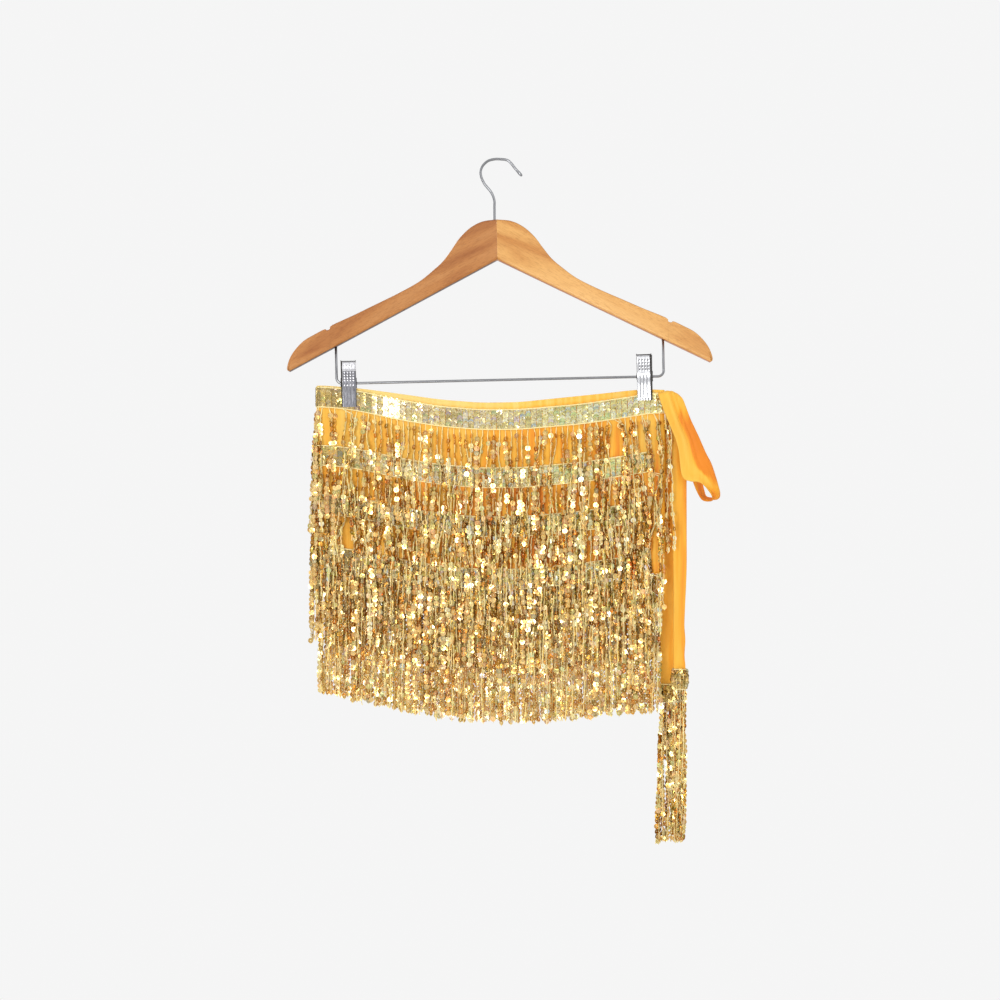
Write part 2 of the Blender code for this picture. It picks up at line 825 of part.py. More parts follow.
def build():
    clear_scene()
    make_hook()
    left = make_wing("wing_left", -1)
    hook_x, hook_y = HOOK_PATH[0][0], 0.0
    bore = drill("hook_bore", hook_x, hook_y, BORE_TOP, BORE_FOOT, WIRE_RADIUS)
    use_boolean(left, bore, "DIFFERENCE")
    make_wing("wing_right", 1)
    make_bar()
    make_clips()
    make_base_panel()
    for tier in range(len(BAND_TOPS)):
        make_trim(tier)
    make_knot()
    make_loop()
    make_tail("tie_tail_front", TAIL_FRONT)
    make_tail("tie_tail_back", TAIL_BACK)
    for name, row in TASSELS.items():
        make_tassel(name, *row)


build()
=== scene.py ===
"""Looks of the belly dance hip scarf on its wooden clip hanger.

Lengths in the tables and constants are millimetres, in the part's own frame: the origin is
the hook's seat, +X runs to the scarf's tied end, +Y away from the viewer, +Z up. The meshes
are made in metres. "Down" is the distance below the unrolled hem line, across both panels,
and "out" the distance from the middle of the cloth.
"""

import math

import bpy
import numpy as np
from mathutils import Matrix, Vector


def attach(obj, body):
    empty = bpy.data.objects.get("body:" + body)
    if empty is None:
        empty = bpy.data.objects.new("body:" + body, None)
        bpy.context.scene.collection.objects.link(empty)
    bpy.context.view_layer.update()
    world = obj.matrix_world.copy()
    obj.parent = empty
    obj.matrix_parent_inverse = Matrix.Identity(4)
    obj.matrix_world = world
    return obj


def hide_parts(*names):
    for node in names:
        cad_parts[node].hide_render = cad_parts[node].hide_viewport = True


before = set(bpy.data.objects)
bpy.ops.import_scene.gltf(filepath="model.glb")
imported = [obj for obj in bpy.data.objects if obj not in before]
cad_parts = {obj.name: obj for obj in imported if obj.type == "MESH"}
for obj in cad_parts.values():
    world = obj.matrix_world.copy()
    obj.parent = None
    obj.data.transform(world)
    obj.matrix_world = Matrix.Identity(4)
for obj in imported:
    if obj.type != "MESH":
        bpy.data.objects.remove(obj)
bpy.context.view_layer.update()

MM = 0.001

# Camera, in front of the hanger at half the scarf's height.
EYE = (-0.5, -1628.0, -359.9)
LENS = 55.28
SENSOR = 36.0

# Floor and lights.
FLOOR_Z = -1600.0
# Columns: x, y.
FLOOR_CORNERS = ((-5000.0, -6000.0), (5000.0, -6000.0), (5000.0, 2150.0), (-5000.0, 2150.0))
# Columns: x, y, z, size, watts.
KEY = (-720.0, -2050.0, -560.0, 640.0, 19.0)
FILL = (900.0, -1500.0, 900.0, 1500.0, 8.0)
RIM = (-900.0, 1300.0, 500.0, 1200.0, 10.0)
AIM = (0.0, -20.0, -400.0)
BACKDROP = 0.915
# Columns: place from behind the eye to before it, brightness.
ROOM_LIGHT = ((0.0, 0.84), (0.3, 0.92), (0.55, 1.08), (1.0, 1.04))
# Brightness of the room's dim and bright patches, and how many of them there are.
ROOM_PATCHES = (0.66, 1.2)
ROOM_PATCH_SCALE = 2.6

# Hanger, in its own upright frame before the small tilt.
HANGER_TILT = math.radians(1.3)
MITRE_X = -5.6
MITRE_GAP = 0.02
BAR_REACH = 170.4
BAR_Y = -28.0
SWEEP = BAR_Y / BAR_REACH
WOOD_HALF = 6.0
WOOD_ROUND = 2.4
WOOD_ROUND_STEPS = 6
NOTCH = 177.5
NOTCH_REACH = 7.0
NOTCH_ROUND_SHARE = 0.25
# Columns: along, height.
WOOD_TOP = (
    (0.0, -63.0),
    (15.0, -65.3),
    (28.0, -72.0),
    (39.5, -83.0),
    (48.0, -95.0),
    (57.0, -107.0),
    (67.0, -116.3),
    (83.0, -129.0),
    (105.5, -141.5),
    (129.0, -153.0),
    (152.0, -164.2),
    (173.2, -174.0),
    (176.0, -178.2),
    (178.8, -179.3),
    (181.6, -178.5),
    (191.0, -183.3),
    (202.4, -190.0),
    (211.0, -198.6),
    (216.8, -207.4),
    (219.8, -216.0),
    (220.0, -220.2),
    (218.0, -222.0),
)
WOOD_ROOT_BOTTOM = -105.6
# The bottom line's last points stop short of the tip, spread over this much.
TIP_SPREAD = 0.4
WOOD_STEPS = 5

WIRE_RADIUS = 1.4
WIRE_SIDES = 16
# Columns: x, z.
HOOK_PATH = (
    (-7.8, -88.0),
    (-7.8, -65.0),
    (-7.6, -50.0),
    (-7.6, -42.0),
    (-10.6, -33.5),
    (-18.0, -23.6),
    (-21.4, -13.8),
    (-19.6, -6.2),
    (-13.6, -0.4),
    (-6.6, 1.5),
    (0.0, 1.4),
    (7.2, 0.2),
    (11.4, -3.4),
    (15.4, -8.8),
    (22.4, -17.0),
)
HOOK_STEPS = 8
# The hook's last rings, as shares of the wire's radius.
TIP_SHARES = (1.12, 1.22, 1.22, 1.05, 0.6)
BAR_RADIUS = 1.35
BAR_Z = -234.75
BAR_BEND = 6.0
BAR_BEND_STEPS = 10
BAR_TOP = -187.5

# Clips: depth and height are from the bar's axis. Their x is along the bar, and then as the
# tilted hanger hangs.
CLIP_X = (-163.5, 144.9)
CLIP_HUNG_X = [x * math.cos(HANGER_TILT) - BAR_Z * math.sin(HANGER_TILT) for x in CLIP_X]
CLIP_SHEET = 0.7
# Columns: depth, height.
CLIP_PROFILE = (
    (-10.4, 22.4),
    (-9.4, 20.2),
    (-7.8, 13.0),
    (-5.6, 5.0),
    (-4.8, 0.0),
    (-5.0, -8.0),
    (-4.5, -16.0),
    (-3.75, -24.8),
)
CLIP_STEPS = 11
CLIP_HALF = 7.5
CLIP_COLUMNS = 43
CLIP_FLANGE = 2.4
CLIP_CORNER = 0.8
CLIP_CORNER_STEPS = 3
# Places of the grooves across a jaw, and the heights over which they run out.
GROOVES = (-3.6, -0.2, 3.2)
GROOVE_TOP = (1.9, 0.9)
GROOVE_FOOT = (-22.5, -21.5)
GROOVE_HALF = 0.8
GROOVE_DEPTH = 0.35
# How deep they are on the left clip and on the right, as shares, and how strongly they show as painted
# highlight on the left clip and painted shade on the right.
GROOVE_DEPTHS = (0.08, 0.4)
GROOVE_LIGHT_AND_SHADE = (0.12, 0.34)
DIMPLE_COLUMNS = (-4.6, -1.6, 1.4, 4.4)
# Rows of dimples on the left clip's jaws and on the right clip's.
DIMPLE_ROWS = ((17.2, 11.0, 8.2, 5.4, 2.7, -2.6), (16.6, 13.4, 10.2, 7.0, -23.2))
DIMPLE_RADIUS = 0.66
DIMPLE_DEPTH = 0.32
# How strongly the dimples show, as painted highlight on the left clip and painted shade on the right.
DIMPLE_LIGHT_AND_SHADE = 1.1
# The left clip's grip is flared from a foot to a top, each over two heights, and has a painted highlight
# there, less so in the dimples. A painted dark line of shade runs below the flare.
FLARE_FOOT = (13.9, 14.3)
FLARE_TOP = (21.2, 20.8)
FLARE_DIMPLES = 0.8
FLARE_SHADE_LINE = 13.4
FLARE_SHADE_LINE_HALF = 0.6
# Where the painted shade of the turned edges starts and is in full: across, towards the hanger's end, and
# up.
CLIP_EDGE_SHADE = (5.9, 6.4)
CLIP_TOP_EDGE_SHADE = (21.4, 22.0)
# Folds of the sheet look sharp from this angle on.
JAW_SHARP_FROM = math.radians(40.0)
# How far across the ears stand, in front and behind.
CLIP_FRONT_EARS = 6.4
CLIP_BACK_EARS = 8.4
EAR_SHEET = 0.8
# Columns: depth, height.
EAR_PROFILE = (
    (-4.9, 6.2),
    (-1.6, 3.6),
    (1.6, 3.0),
    (2.7, 1.2),
    (2.7, -1.2),
    (1.4, -2.6),
    (-1.6, -2.7),
    (-3.6, -3.6),
    (-4.9, -4.8),
)
SPRING_WIRE = 0.45
SPRING_RADIUS = 2.35
SPRING_TURNS = 5.5
SPRING_STEPS = 20
SPRING_HALF = 5.2
SPRING_SIDES = 8
SPRING_LEG = (5.2, 13.0)

# Scarf.
CLOTH = 1.0
# Columns: x, height, rolled.
TOP_EDGE = (
    (-190.0, -240.9, 6.0),
    (-175.0, -241.2, 6.0),
    (-158.0, -242.7, 5.5),
    (-146.0, -243.6, 4.6),
    (-104.7, -249.2, 1.2),
    (-63.0, -255.2, 0.5),
    (-21.3, -258.5, 0.3),
    (20.3, -258.0, 0.0),
    (82.9, -251.3, -1.2),
    (141.2, -245.0, 1.2),
    (158.9, -244.4, 4.0),
    (172.0, -246.0, 4.5),
)
# The edge is taken as the mean over this much to either side.
EDGE_BLUR = 10.0
EDGE_BLUR_SPOTS = 5
FOLD_X = -187.6
FOLD_GAP = 2.4
# The trims end at the border, but for the first, and the cloth at its end.
BORDER_X = 156.0
END_X = 170.5
HALF_GAP = 1.7
PINCHED_GAP = 0.7
PINCH_REACH = (10.0, 27.0)
FOLD_OPENING = 30.0
# Columns: half waves between the clips, height.
WAVES = ((1, 3.0), (3, 3.0), (4, -1.2), (5, 1.5))
WAVE_AT_CLIPS = 0.6
# The trims are overlapping tiers, whose bands start this far down.
BAND_TOPS = (7.5, 68.0, 119.0, 173.5)
BAND_HEIGHT = 21.0
BAND_FEET = [top + BAND_HEIGHT for top in BAND_TOPS]
LAST_TIER = len(BAND_TOPS) - 1
# The cloth ends just below the last band. It hangs freely from the second band down.
BELOW_LAST_BAND = 0.4
HEM = BAND_FEET[LAST_TIER] + BELOW_LAST_BAND
LIMP_FROM = BAND_FEET[0]
LIMP_BY = BAND_TOPS[1]
# Each cell of a trim has a column of its band's sequins and a strand below.
FRONT_CELLS = 58
FOLD_CELLS = 4
FIRST_BAND_EXTRA = 3
# The cells behind are set off from those in front by this share of a cell.
BACK_CELL_SHIFT = 0.4
CELL = (BORDER_X - FOLD_X) / FRONT_CELLS
BAND_INSIDE = 0.8
# How far out from the cloth the strands hang: the lowest layer, each further layer, and by
# how much they differ.
STRAND_INSIDE = 0.9
LAYER_STEP = 1.7
LEVEL_SPREAD = 2.2
SEQUIN_CLEARANCE = 0.2
STRAND_LENGTH = 140.0
LENGTH_SPREAD = 7.0
SLANT_SPREAD = 4.4
# How far each tier's strands swing out at the fold.
FOLD_FLARES = (2.8, 3.0, 2.6, -10.0)

# Panel: cloth grid, the rolled bead of the hem, the stitched puckers.
PANEL_STEP = 3.0
PANEL_ROWS = 64
FOLD_COLUMNS = 12
# Columns: below the top edge, half thickness.
HEM_BEAD = ((0.0, 0.3), (0.25, 0.75), (0.7, 0.95), (1.3, 0.85), (2.0, 0.55), (4.0, 0.5))
PUCKER = 0.22
PUCKER_REACH = 5.0
# How the puckers shift along x from one edge to the next, for each millimetre down.
PUCKER_SHIFT = 0.7
# How dense the panel looks: everywhere, below the hem, and towards the tied end.
PANEL_DENSE = 0.06
BELOW_HEM_DENSE = 0.35
BELOW_HEM = (5.5, 8.5)
END_DENSE = 0.32
TOWARDS_END = (-120.0, 120.0)
# Painted shade under the overlapping trims, as denser cloth: how far, and from where below the edge.
UNDER_TRIMS_PAINTED_SHADE = 0.26
UNDER_TRIMS = (50.0, 95.0)
# Painted light near the tied end, where fewer strands hang to shade the cloth: from where along and
# below.
END_PAINTED_LIGHT = 0.26
END_PAINTED_LIGHT_FROM = (116.0, 138.0)
END_PAINTED_LIGHT_BELOW = (20.0, 30.0)
# How the creases fade in and out, and where those behind lie instead.
CREASE_EASES = (20.0, 25.0)
BACK_CREASE_SHIFT = -14.0
BACK_CREASE_STEP = 5.0
# Columns: x, first down, last down, half width, lift.
PANEL_CREASES = (
    (-168.0, 22.0, 110.0, 6.0, 0.5),
    (-131.0, 20.0, 66.0, 5.0, -0.45),
    (-84.0, 26.0, 120.0, 8.0, 0.4),
    (-22.0, 30.0, 90.0, 7.0, -0.35),
    (47.0, 24.0, 130.0, 8.0, 0.4),
    (104.0, 20.0, 80.0, 6.0, -0.45),
    (139.0, 16.0, 150.0, 6.0, 0.5),
)

# Sequins.
SEQUIN_RADIUS = 2.85
BAND_SEQUIN_RADIUS = 3.0
SEQUIN_HOLE = 0.7
SEQUIN_CUP = 0.14
SEQUIN_SIDES = 11
STRAND_SEQUINS = 27
# How far below the band the first sequin hangs: on the first trim, on the others.
FIRST_SEQUIN = ((6.0, 11.0), (4.0, 8.0))
# Slants of the strands as a share of the solid fringe's, those of the few strays as a
# multiple of that, and the strays on each tier.
SLANT_SHARE = 0.35
STRAY_SLANT = 3.5
STRAY_SHARES = (0.1, 0.1, 0.1, 0.0)
LAST_BEHIND_SLANT = 0.4
# How much a sequin's twist about its thread varies, and what it keeps of the one above's.
TWIST_FRONT = 0.66
TWIST_BACK = 0.28
TWIST_KEPT = 0.66
# Turn of the strands behind, away from the light.
TURN_BACK = 0.3
# Of the sequins that lie flat, the share that shows the dull back, in front and behind.
TURNED_OVER = (0.06, 0.35)
# The dull back of a sequin, darkened and browned further as painted shade, as shares of its tint.
DULL_BACK_AND_SHADE_TONE = (0.84, 0.65, 0.4)
CUFF_TONE = (0.7, 0.56, 0.34)
TASSEL_TONE = (0.92, 0.88, 0.7)
BAND_ROWS = 7
BAND_LIFT = 0.75
BAND_SHINGLE = math.radians(7.0)
COLUMN_LEAN = math.radians(1.8)
SEQUIN_LEAN = math.radians(2.8)
BAND_MARGIN = SEQUIN_RADIUS - 0.5
BAND_JITTER = 0.2
# Every second column of a band stands out by this much.
COLUMN_STEP = 0.25
THREAD_RADIUS = 0.55
THREAD_SIDES = 3
THREAD_LIFT = 0.5
ROOT_LIFT = 0.3
# Chain stitch, as shares of the thread's radius.
STITCH_SHARES = (0.85, 1.15)
# Where the thread meets a sequin, and where it ends, as shares of the sequin's radius.
STITCH_REACH = 0.6
THREAD_END_REACH = 1.25
EDGE_THREAD_RADIUS = 0.6
EDGE_THREAD_SIDES = 4
TRIM_SEED = 100
# How far inside a band's top edge and foot its edge threads run.
EDGE_THREAD_INSETS = (0.4, 0.2)
EDGE_THREAD_OUT = 1.3
# How much the sequins' tints differ in brightness.
TINT_SPREAD = (0.9, 1.08)
# Which columns of the tints hold the weights.
STRAND_WEIGHTS = 3
BAND_WEIGHTS = 4
# Columns: red, green, blue, weight on the strands, weight on the bands.
FOIL_TINTS = (
    (254, 234, 178, 30, 0),
    (254, 242, 208, 26, 42),
    (242, 202, 142, 9, 0),
    (238, 228, 176, 14, 30),
    (248, 212, 182, 8, 0),
    (250, 248, 236, 8, 14),
    (212, 224, 232, 3, 5),
    (232, 218, 232, 3, 3),
    (226, 238, 190, 6, 8),
)
# Where the first band's sequins face, which turns some of them into the light.
# Columns: x, degrees towards the fold, share of the random leans that they keep.
BAND_LEANS = (
    (-190.0, -14.0, 1.0),
    (-154.0, -14.0, 1.0),
    (-146.0, -10.5, 1.0),
    (-126.0, -10.5, 1.0),
    (-123.0, 6.0, 0.3),
    (-104.0, 6.8, 0.3),
    (-101.0, -12.0, 1.0),
    (-30.0, -10.0, 1.0),
    (20.0, -8.0, 1.0),
    (155.0, -5.0, 1.0),
    (159.0, 4.0, 1.0),
)
# Degrees towards the fold on the other bands, and the share of all leans that the backs have.
LOWER_BAND_LEAN = -12.0
BACK_LEAN_SHARE = 0.3
# Share of the bands' sequins that stand out of line, square to the light.
BAND_CAUGHT_SHARE = 0.012
# Painted light and shade along the bands: the tones darken the left end and lighten the rest, and the
# columns differ in tone at random.
# Columns: x, red, green and blue tone, how much the columns of sequins differ in tone.
BAND_LIGHT_AND_TONES = (
    (-190.0, 0.78, 0.64, 0.46, 0.45),
    (-152.0, 0.78, 0.64, 0.46, 0.45),
    (-144.0, 0.98, 0.88, 0.82, 0.2),
    (-122.0, 1.08, 1.0, 1.0, 0.15),
    (-100.0, 1.14, 1.06, 1.12, 0.2),
    (-60.0, 1.08, 1.0, 1.04, 0.2),
    (20.0, 1.1, 1.08, 1.12, 0.12),
    (60.0, 1.12, 1.16, 1.16, 0.08),
    (156.0, 1.16, 1.2, 1.18, 0.08),
    (160.0, 1.26, 1.22, 1.04, 0.08),
)
# How differently the strands part, over what heights they open and close, and the reach
# of a parting as shares of its half width.
PARTING_EASE = (0.8, 1.15)
PARTING_RISE = 20.0
PARTING_FALL = 45.0
PARTING_REACH = 6.0
# Where the strands part and bare the cloth.
# Columns: side (1 in front), x, z, half width, half height, deepest tier that parts.
PARTINGS = (
    (1, -180.0, -291.0, 5.0, 13.0, 1),
    (1, -148.5, -292.0, 3.0, 12.0, 1),
    (1, 32.0, -300.0, 3.0, 14.0, 1),
    (1, 123.0, -311.0, 6.0, 13.0, 1),
    (1, -160.0, -401.0, 5.5, 6.0, 3),
    (1, 34.0, -420.0, 3.0, 12.0, 4),
    (1, 117.0, -360.0, 3.0, 12.0, 2),
    (1, 160.0, -424.0, 5.0, 22.0, 4),
    (1, 162.0, -330.0, 3.0, 16.0, 1),
    (-1, -120.0, -290.0, 6.0, 17.0, 1),
    (-1, 38.0, -296.0, 5.0, 16.0, 1),
    (-1, 98.0, -400.0, 6.0, 14.0, 3),
    (-1, -40.0, -352.0, 4.0, 14.0, 2),
)
# Strands that hang clearly aslant.
# Columns: tier, x, how far the end swings.
SWUNG = (
    (0, -166.0, 15.0),
    (0, -150.0, -9.0),
    (0, 119.0, 12.0),
    (0, 146.0, 14.0),
    (1, 154.0, 10.0),
    (1, 92.0, -11.0),
    (2, -60.0, 10.0),
    (2, 20.0, -9.0),
    (3, -172.0, 6.0),
)
# Slow gathering of neighbouring strands.
# Columns: wave length along the cloth, reach, how the gathers drift as they fall.
GATHERS = ((71.0, 1.8, 0.006), (37.0, 1.1, -0.011), (23.0, 0.8, 0.017), (14.5, 0.6, -0.02))
# How far below the band the gathering has fully set in, and its share on each tier.
GATHERED_BY = 45.0
GATHER_SHARES = (0.75, 0.85, 0.4, 0.12)
# How far the gathers behind are set off from those in front.
GATHER_OFFSET = 11.0
# Slow bends of each strand, and how far below the band they have fully set in.
# Columns: length, reach.
STRAND_BENDS = ((21.0, 0.8), (8.0, 0.45))
BENT_BY = 30.0
# Share of each tier's strands that hang with the sequins flat.
FLAT_SHARES = (0.24, 0.24, 0.24, 0.26)
# How far the strands near the tied end spread towards it, on each tier.
END_SPREADS = (3.0, 8.0, 7.5, 7.0)
END_SPREAD_REACH = (85.0, 150.0)
SPREAD_BY = 60.0
# The tied end draws the cloth together, so the strands hang closer beyond this place.
CLOSER_FROM = 96.0
# Sequins that lie square to the light: share of the sequins that start a run of them, and
# the chance that each further sequin belongs to it.
CAUGHT_SHARE = 0.011
CAUGHT_RUN = 3
CAUGHT_RUN_SHARE = 0.75
# How far a sequin nods, and how far one does that catches the light.
NOD_SPREAD = 0.15
CAUGHT_NOD = math.radians(-6.0)
CAUGHT_NOD_SHARE = 0.1
# Sideways lean that catches the light, and how much it varies in degrees.
CAUGHT_LEAN_SPREAD = 1.2
# Columns: x, degrees.
CAUGHT_LEANS = ((-180.0, 4.3), (-110.0, 6.4), (0.0, 9.8), (150.0, 14.3))
# How much shorter the strands are towards the fold.
# Columns: x, length.
SHORTER = (
    (-188.0, 10.0),
    (-170.0, 7.0),
    (-150.0, 3.5),
    (-100.0, 4.0),
    (-50.0, 2.5),
    (0.0, 0.0),
    (110.0, 0.0),
    (130.0, -2.5),
    (156.0, -3.5),
)

# Tied end.
KNOT_CENTRE = (180.0, -30.0, -256.5)
KNOT_RADII = (9.2, 7.5, 8.0)
# The wrap's first and last angle from the top, as shares of a half turn.
KNOT_POLAR = (0.13, 0.87)
KNOT_ROWS = 36
KNOT_COLUMNS = 73
KNOT_SIZE = 0.965
# Columns: creases round the knot, how far they slant down it, start, depth as a share of size.
KNOT_CREASES = ((5, 4.5, 0.0, 0.035), (9, 8.1, 1.3, 0.02), (3, -4.0, 0.0, 0.012))
KNOT_CLOTH = 0.7
KNOT_DENSE = 0.6
LOOP_CLOTH = 0.9
# Columns: share of the strip's width from its left edge, how far a crease lifts it.
LOOP_ACROSS = ((0.0, 0.0), (0.28, -1.0), (0.5, 0.33), (0.76, 1.1), (1.0, 0.0))
LOOP_ACROSS_STEPS = 8
# Columns: left x, left y, left z, right x, right y, right z.
LOOP = (
    (171.0, -22.6, -251.0, 186.4, -22.6, -250.6),
    (165.0, -30.0, -246.6, 186.6, -30.0, -246.9),
    (163.4, -38.8, -249.0, 187.6, -37.8, -249.2),
    (167.0, -40.8, -261.5, 189.8, -38.0, -255.6),
    (174.6, -41.0, -281.4, 196.6, -36.0, -275.0),
    (183.2, -40.6, -304.2, 205.6, -37.0, -294.7),
    (187.6, -40.8, -334.5, 212.9, -36.0, -311.2),
    (195.7, -40.4, -340.3, 218.3, -35.0, -321.5),
    (203.1, -39.6, -340.8, 222.2, -33.0, -331.9),
    (209.4, -38.0, -343.4, 226.2, -31.0, -344.3),
    (216.5, -35.5, -350.8, 228.6, -28.0, -352.4),
    (220.4, -32.0, -357.2, 228.2, -24.0, -357.6),
    (219.8, -28.0, -360.8, 223.4, -20.0, -357.6),
    (211.8, -24.0, -360.4, 216.4, -16.4, -356.2),
    (206.8, -22.0, -353.6, 213.9, -15.0, -349.4),
    (201.6, -22.0, -341.1, 211.6, -15.0, -338.9),
    (197.3, -22.6, -323.3, 208.5, -16.0, -318.9),
    (191.4, -24.0, -297.1, 200.9, -19.0, -290.7),
    (185.6, -26.4, -268.4, 193.4, -23.6, -264.0),
)
LOOP_STEPS = 7
LOOP_COLUMNS = 29
# How far the top corners are rounded off, at the left and at the right, and how far along.
LOOP_ROUNDS = (3.0, 7.0)
LOOP_ROUND_REACH = (0.24, 0.04)
# How dense the strip looks at its left edge, and how much painted shade, as denser cloth, is added at its
# right and behind.
LOOP_DENSE = 0.4
LOOP_SHADE_ACROSS = 0.2
LOOP_SHADE_BEHIND = 0.45
LOOP_BEHIND = (0.45, 0.6)
# The strip's right side gets painted shade, as denser cloth, between two places along it.
LOOP_PAINTED_SHADE = 0.72
LOOP_SHADED_SIDE = (0.48, 0.6)
LOOP_SHADED_FROM = (0.17, 0.25)
LOOP_SHADED_TO = (0.535, 0.415)
# Painted shade, as denser cloth, in the troughs of the creases and painted light on their ridges; painted
# shade on the right of the tails.
CREASE_LIGHT_AND_SHADE = 0.1
TAIL_PAINTED_SHADE = 0.14
# Columns: first share along, first share across, last along, last across, half width, lift.
LOOP_CREASES = (
    (0.08, 0.40, 0.34, 0.30, 0.06, 1.3),
    (0.08, 0.56, 0.34, 0.47, 0.05, -1.3),
    (0.10, 0.74, 0.38, 0.66, 0.05, -1.0),
    (0.32, 0.92, 0.52, 0.9, 0.06, 0.8),
    (0.62, 0.35, 0.90, 0.40, 0.08, 0.6),
    (0.68, 0.70, 0.95, 0.72, 0.07, -0.5),
)

TAIL_CLOTH = 0.8
TAIL_LEG = 1.2
# Columns: z, middle x, y, width.
TAIL_FRONT = (
    (-264.3, 183.4, -30.6, 14.0),
    (-274.0, 185.4, -31.0, 14.8),
    (-300.0, 186.2, -31.4, 15.6),
    (-345.0, 186.1, -31.2, 15.4),
    (-390.0, 186.4, -31.0, 15.0),
    (-432.7, 186.7, -31.2, 14.2),
    (-470.0, 186.1, -30.8, 12.4),
    (-490.0, 185.7, -31.0, 11.8),
    (-505.5, 186.1, -31.2, 12.8),
    (-521.1, 185.8, -31.0, 11.8),
    (-533.0, 186.3, -31.0, 12.6),
    (-552.0, 186.3, -31.0, 12.8),
)
TAIL_BACK = (
    (-257.0, 179.6, -20.8, 12.0),
    (-272.0, 179.2, -17.6, 13.2),
    (-300.0, 178.6, -14.6, 13.0),
    (-345.0, 178.0, -14.2, 13.2),
    (-381.0, 178.4, -14.0, 14.4),
    (-444.0, 177.6, -14.3, 15.4),
    (-486.0, 176.4, -13.8, 16.6),
    (-517.6, 176.2, -14.2, 16.8),
    (-550.0, 175.6, -14.0, 14.4),
    (-567.0, 175.0, -14.0, 13.0),
)
TAIL_STEPS = 8
# Columns: share of half width, legs from the middle.
TAIL_SECTION = (
    (0.86, 1.0),
    (0.3, 1.25),
    (-0.5, 1.0),
    (-0.94, 0.75),
    (-1.0, 0.0),
    (-0.94, -0.75),
    (-0.4, -1.0),
    (0.3, -0.8),
    (1.0, -1.05),
)
TAIL_SECTION_STEPS = 4

# Creases down the tails. Down is in units of this length, across in shares of the section.
CREASE_UNIT = 100.0
# Columns: first down, first across, last down, last across, half width, lift.
TAIL_FRONT_CREASES = (
    (0.1, 0.62, 1.2, 0.60, 0.03, 0.25),
    (0.9, 0.78, 2.0, 0.72, 0.03, -0.25),
    (1.7, 0.62, 2.8, 0.66, 0.025, 0.35),
    (2.1, 0.86, 2.7, 0.84, 0.03, 0.3),
)
TAIL_BACK_CREASES = (
    (0.3, 0.66, 1.6, 0.62, 0.03, 0.25),
    (1.5, 0.78, 2.9, 0.74, 0.03, -0.25),
)
# Columns: table of its places, creases, how dense the cloth looks, cut length in metres.
TAILS = {
    "front": (TAIL_FRONT, TAIL_FRONT_CREASES, 0.68, 0.29),
    "back": (TAIL_BACK, TAIL_BACK_CREASES, 0.62, 0.31),
}

CUFF_WIDE = 13.8
CUFF_DEEP = 7.4
CUFF_CELLS = 16
CUFF_SIDE_SHARE = 1.6
CUFF_ROWS = 7
CUFF_BULGE = 1.0
CUFF_LEAN = 0.3
# How much the cuff's sequins face its ends rather than its straight sides.
CUFF_FACING = 0.6
# How far outside the cuff's ring the tassel's strands start, which is inside it, and its edge
# threads run.
TASSEL_OUT = -1.9
CUFF_THREAD_OUT = 0.5
CUFF_THREAD_RADIUS = 0.4
TASSEL_SEQUINS = 29
# The first sequin hangs this far below the cuff; strands and single sequins differ in height.
TASSEL_FIRST = 5.0
TASSEL_UNEVEN = 2.6
TASSEL_JITTER = 0.4
# Slow bends of the strands along X and along Y, and where they have fully set in.
# Columns: length, reach.
TASSEL_BENDS = ((23.0, 1.1), (17.0, 0.9))
SWAYING_BY = 40.0
# How much a sequin turns from the one above it, and how much it nods.
TASSEL_TWIST = 0.45
TASSEL_NOD = 0.2
# Columns: x, y, top z, bottom z, strand end z, spread.
TASSELS = {
    "front": (186.3, -31.0, -535.2, -556.4, -714.0, -1.6),
    "back": (175.0, -14.0, -552.8, -572.0, -719.0, 7.5),
}

DOWNWARDS = np.array((0.0, 0.0, -1.0))
QUARTER_TURN = 0.5 * math.pi
# Angles on the cloth turn from 0 in front to pi behind. Within this of either it is flat.
FLAT_ANGLE = 0.01
# Where a crease fades in and out, as shares of its length.
CREASE_START = (-0.15, 0.25)
CREASE_END = (1.15, 0.7)


# Numbers.


def linear(red, green, blue):
    """A display colour from 0 to 255 as the scene's linear values."""
    shares = np.array((red, green, blue)) / 255
    values = np.where(shares <= 0.04045, shares / 12.92, ((shares + 0.055) / 1.055) ** 2.4)
    return tuple(values) + (1.0,)


def grey(value):
    return (value, value, value, 1.0)


def unit(vectors):
    """Vectors brought to a length of 1."""
    return vectors / np.maximum(np.linalg.norm(vectors, axis=-1, keepdims=True), 1e-9)


def smooth_step(start, end, value):
    """0 at the start and before, a soft S to 1 at the end, which may lie on either side."""
    share = np.clip((value - start) / (end - start), 0.0, 1.0)
    return share * share * (3 - 2 * share)


def spline(rows, steps):
    """Catmull-Rom rows through the given rows, with steps intervals between each two."""
    table = np.array(rows, float)
    ends = np.vstack([2 * table[0] - table[1], table, 2 * table[-1] - table[-2]])
    found = []
    for i in range(1, len(ends) - 2):
        before, start, end, after = ends[i - 1:i + 3]
        for step in range(steps):
            t = step / steps
            bend = 2 * before - 5 * start + 4 * end - after
            twist = 3 * start - before - 3 * end + after
            found.append(start + 0.5 * t * (end - before + t * (bend + t * twist)))
    found.append(table[-1])
    return np.array(found)


def window(rise, fall, value):
    """0, up to 1 over the first pair of places, and back to 0 over the second."""
    return smooth_step(*rise, value) * smooth_step(*fall, value)


def looked_up(rows, place, column=1):
    """A column of a table at a place in its first column, on straight lines between rows."""
    table = np.array(rows)
    return np.interp(place, table[:, 0], table[:, column])


def bell(away, half):
    """1 at no distance, and falling softly to about a third at half."""
    return np.exp(-((away / half) ** 2))


def turned(points, matrix):
    """Points moved by a 3 x 3 or 4 x 4 matrix."""
    points = np.asarray(points, float)
    table = np.array(matrix)
    moved = points @ table[:3, :3].T
    if len(table) == 4:
        moved = moved + table[:3, 3]
    return moved


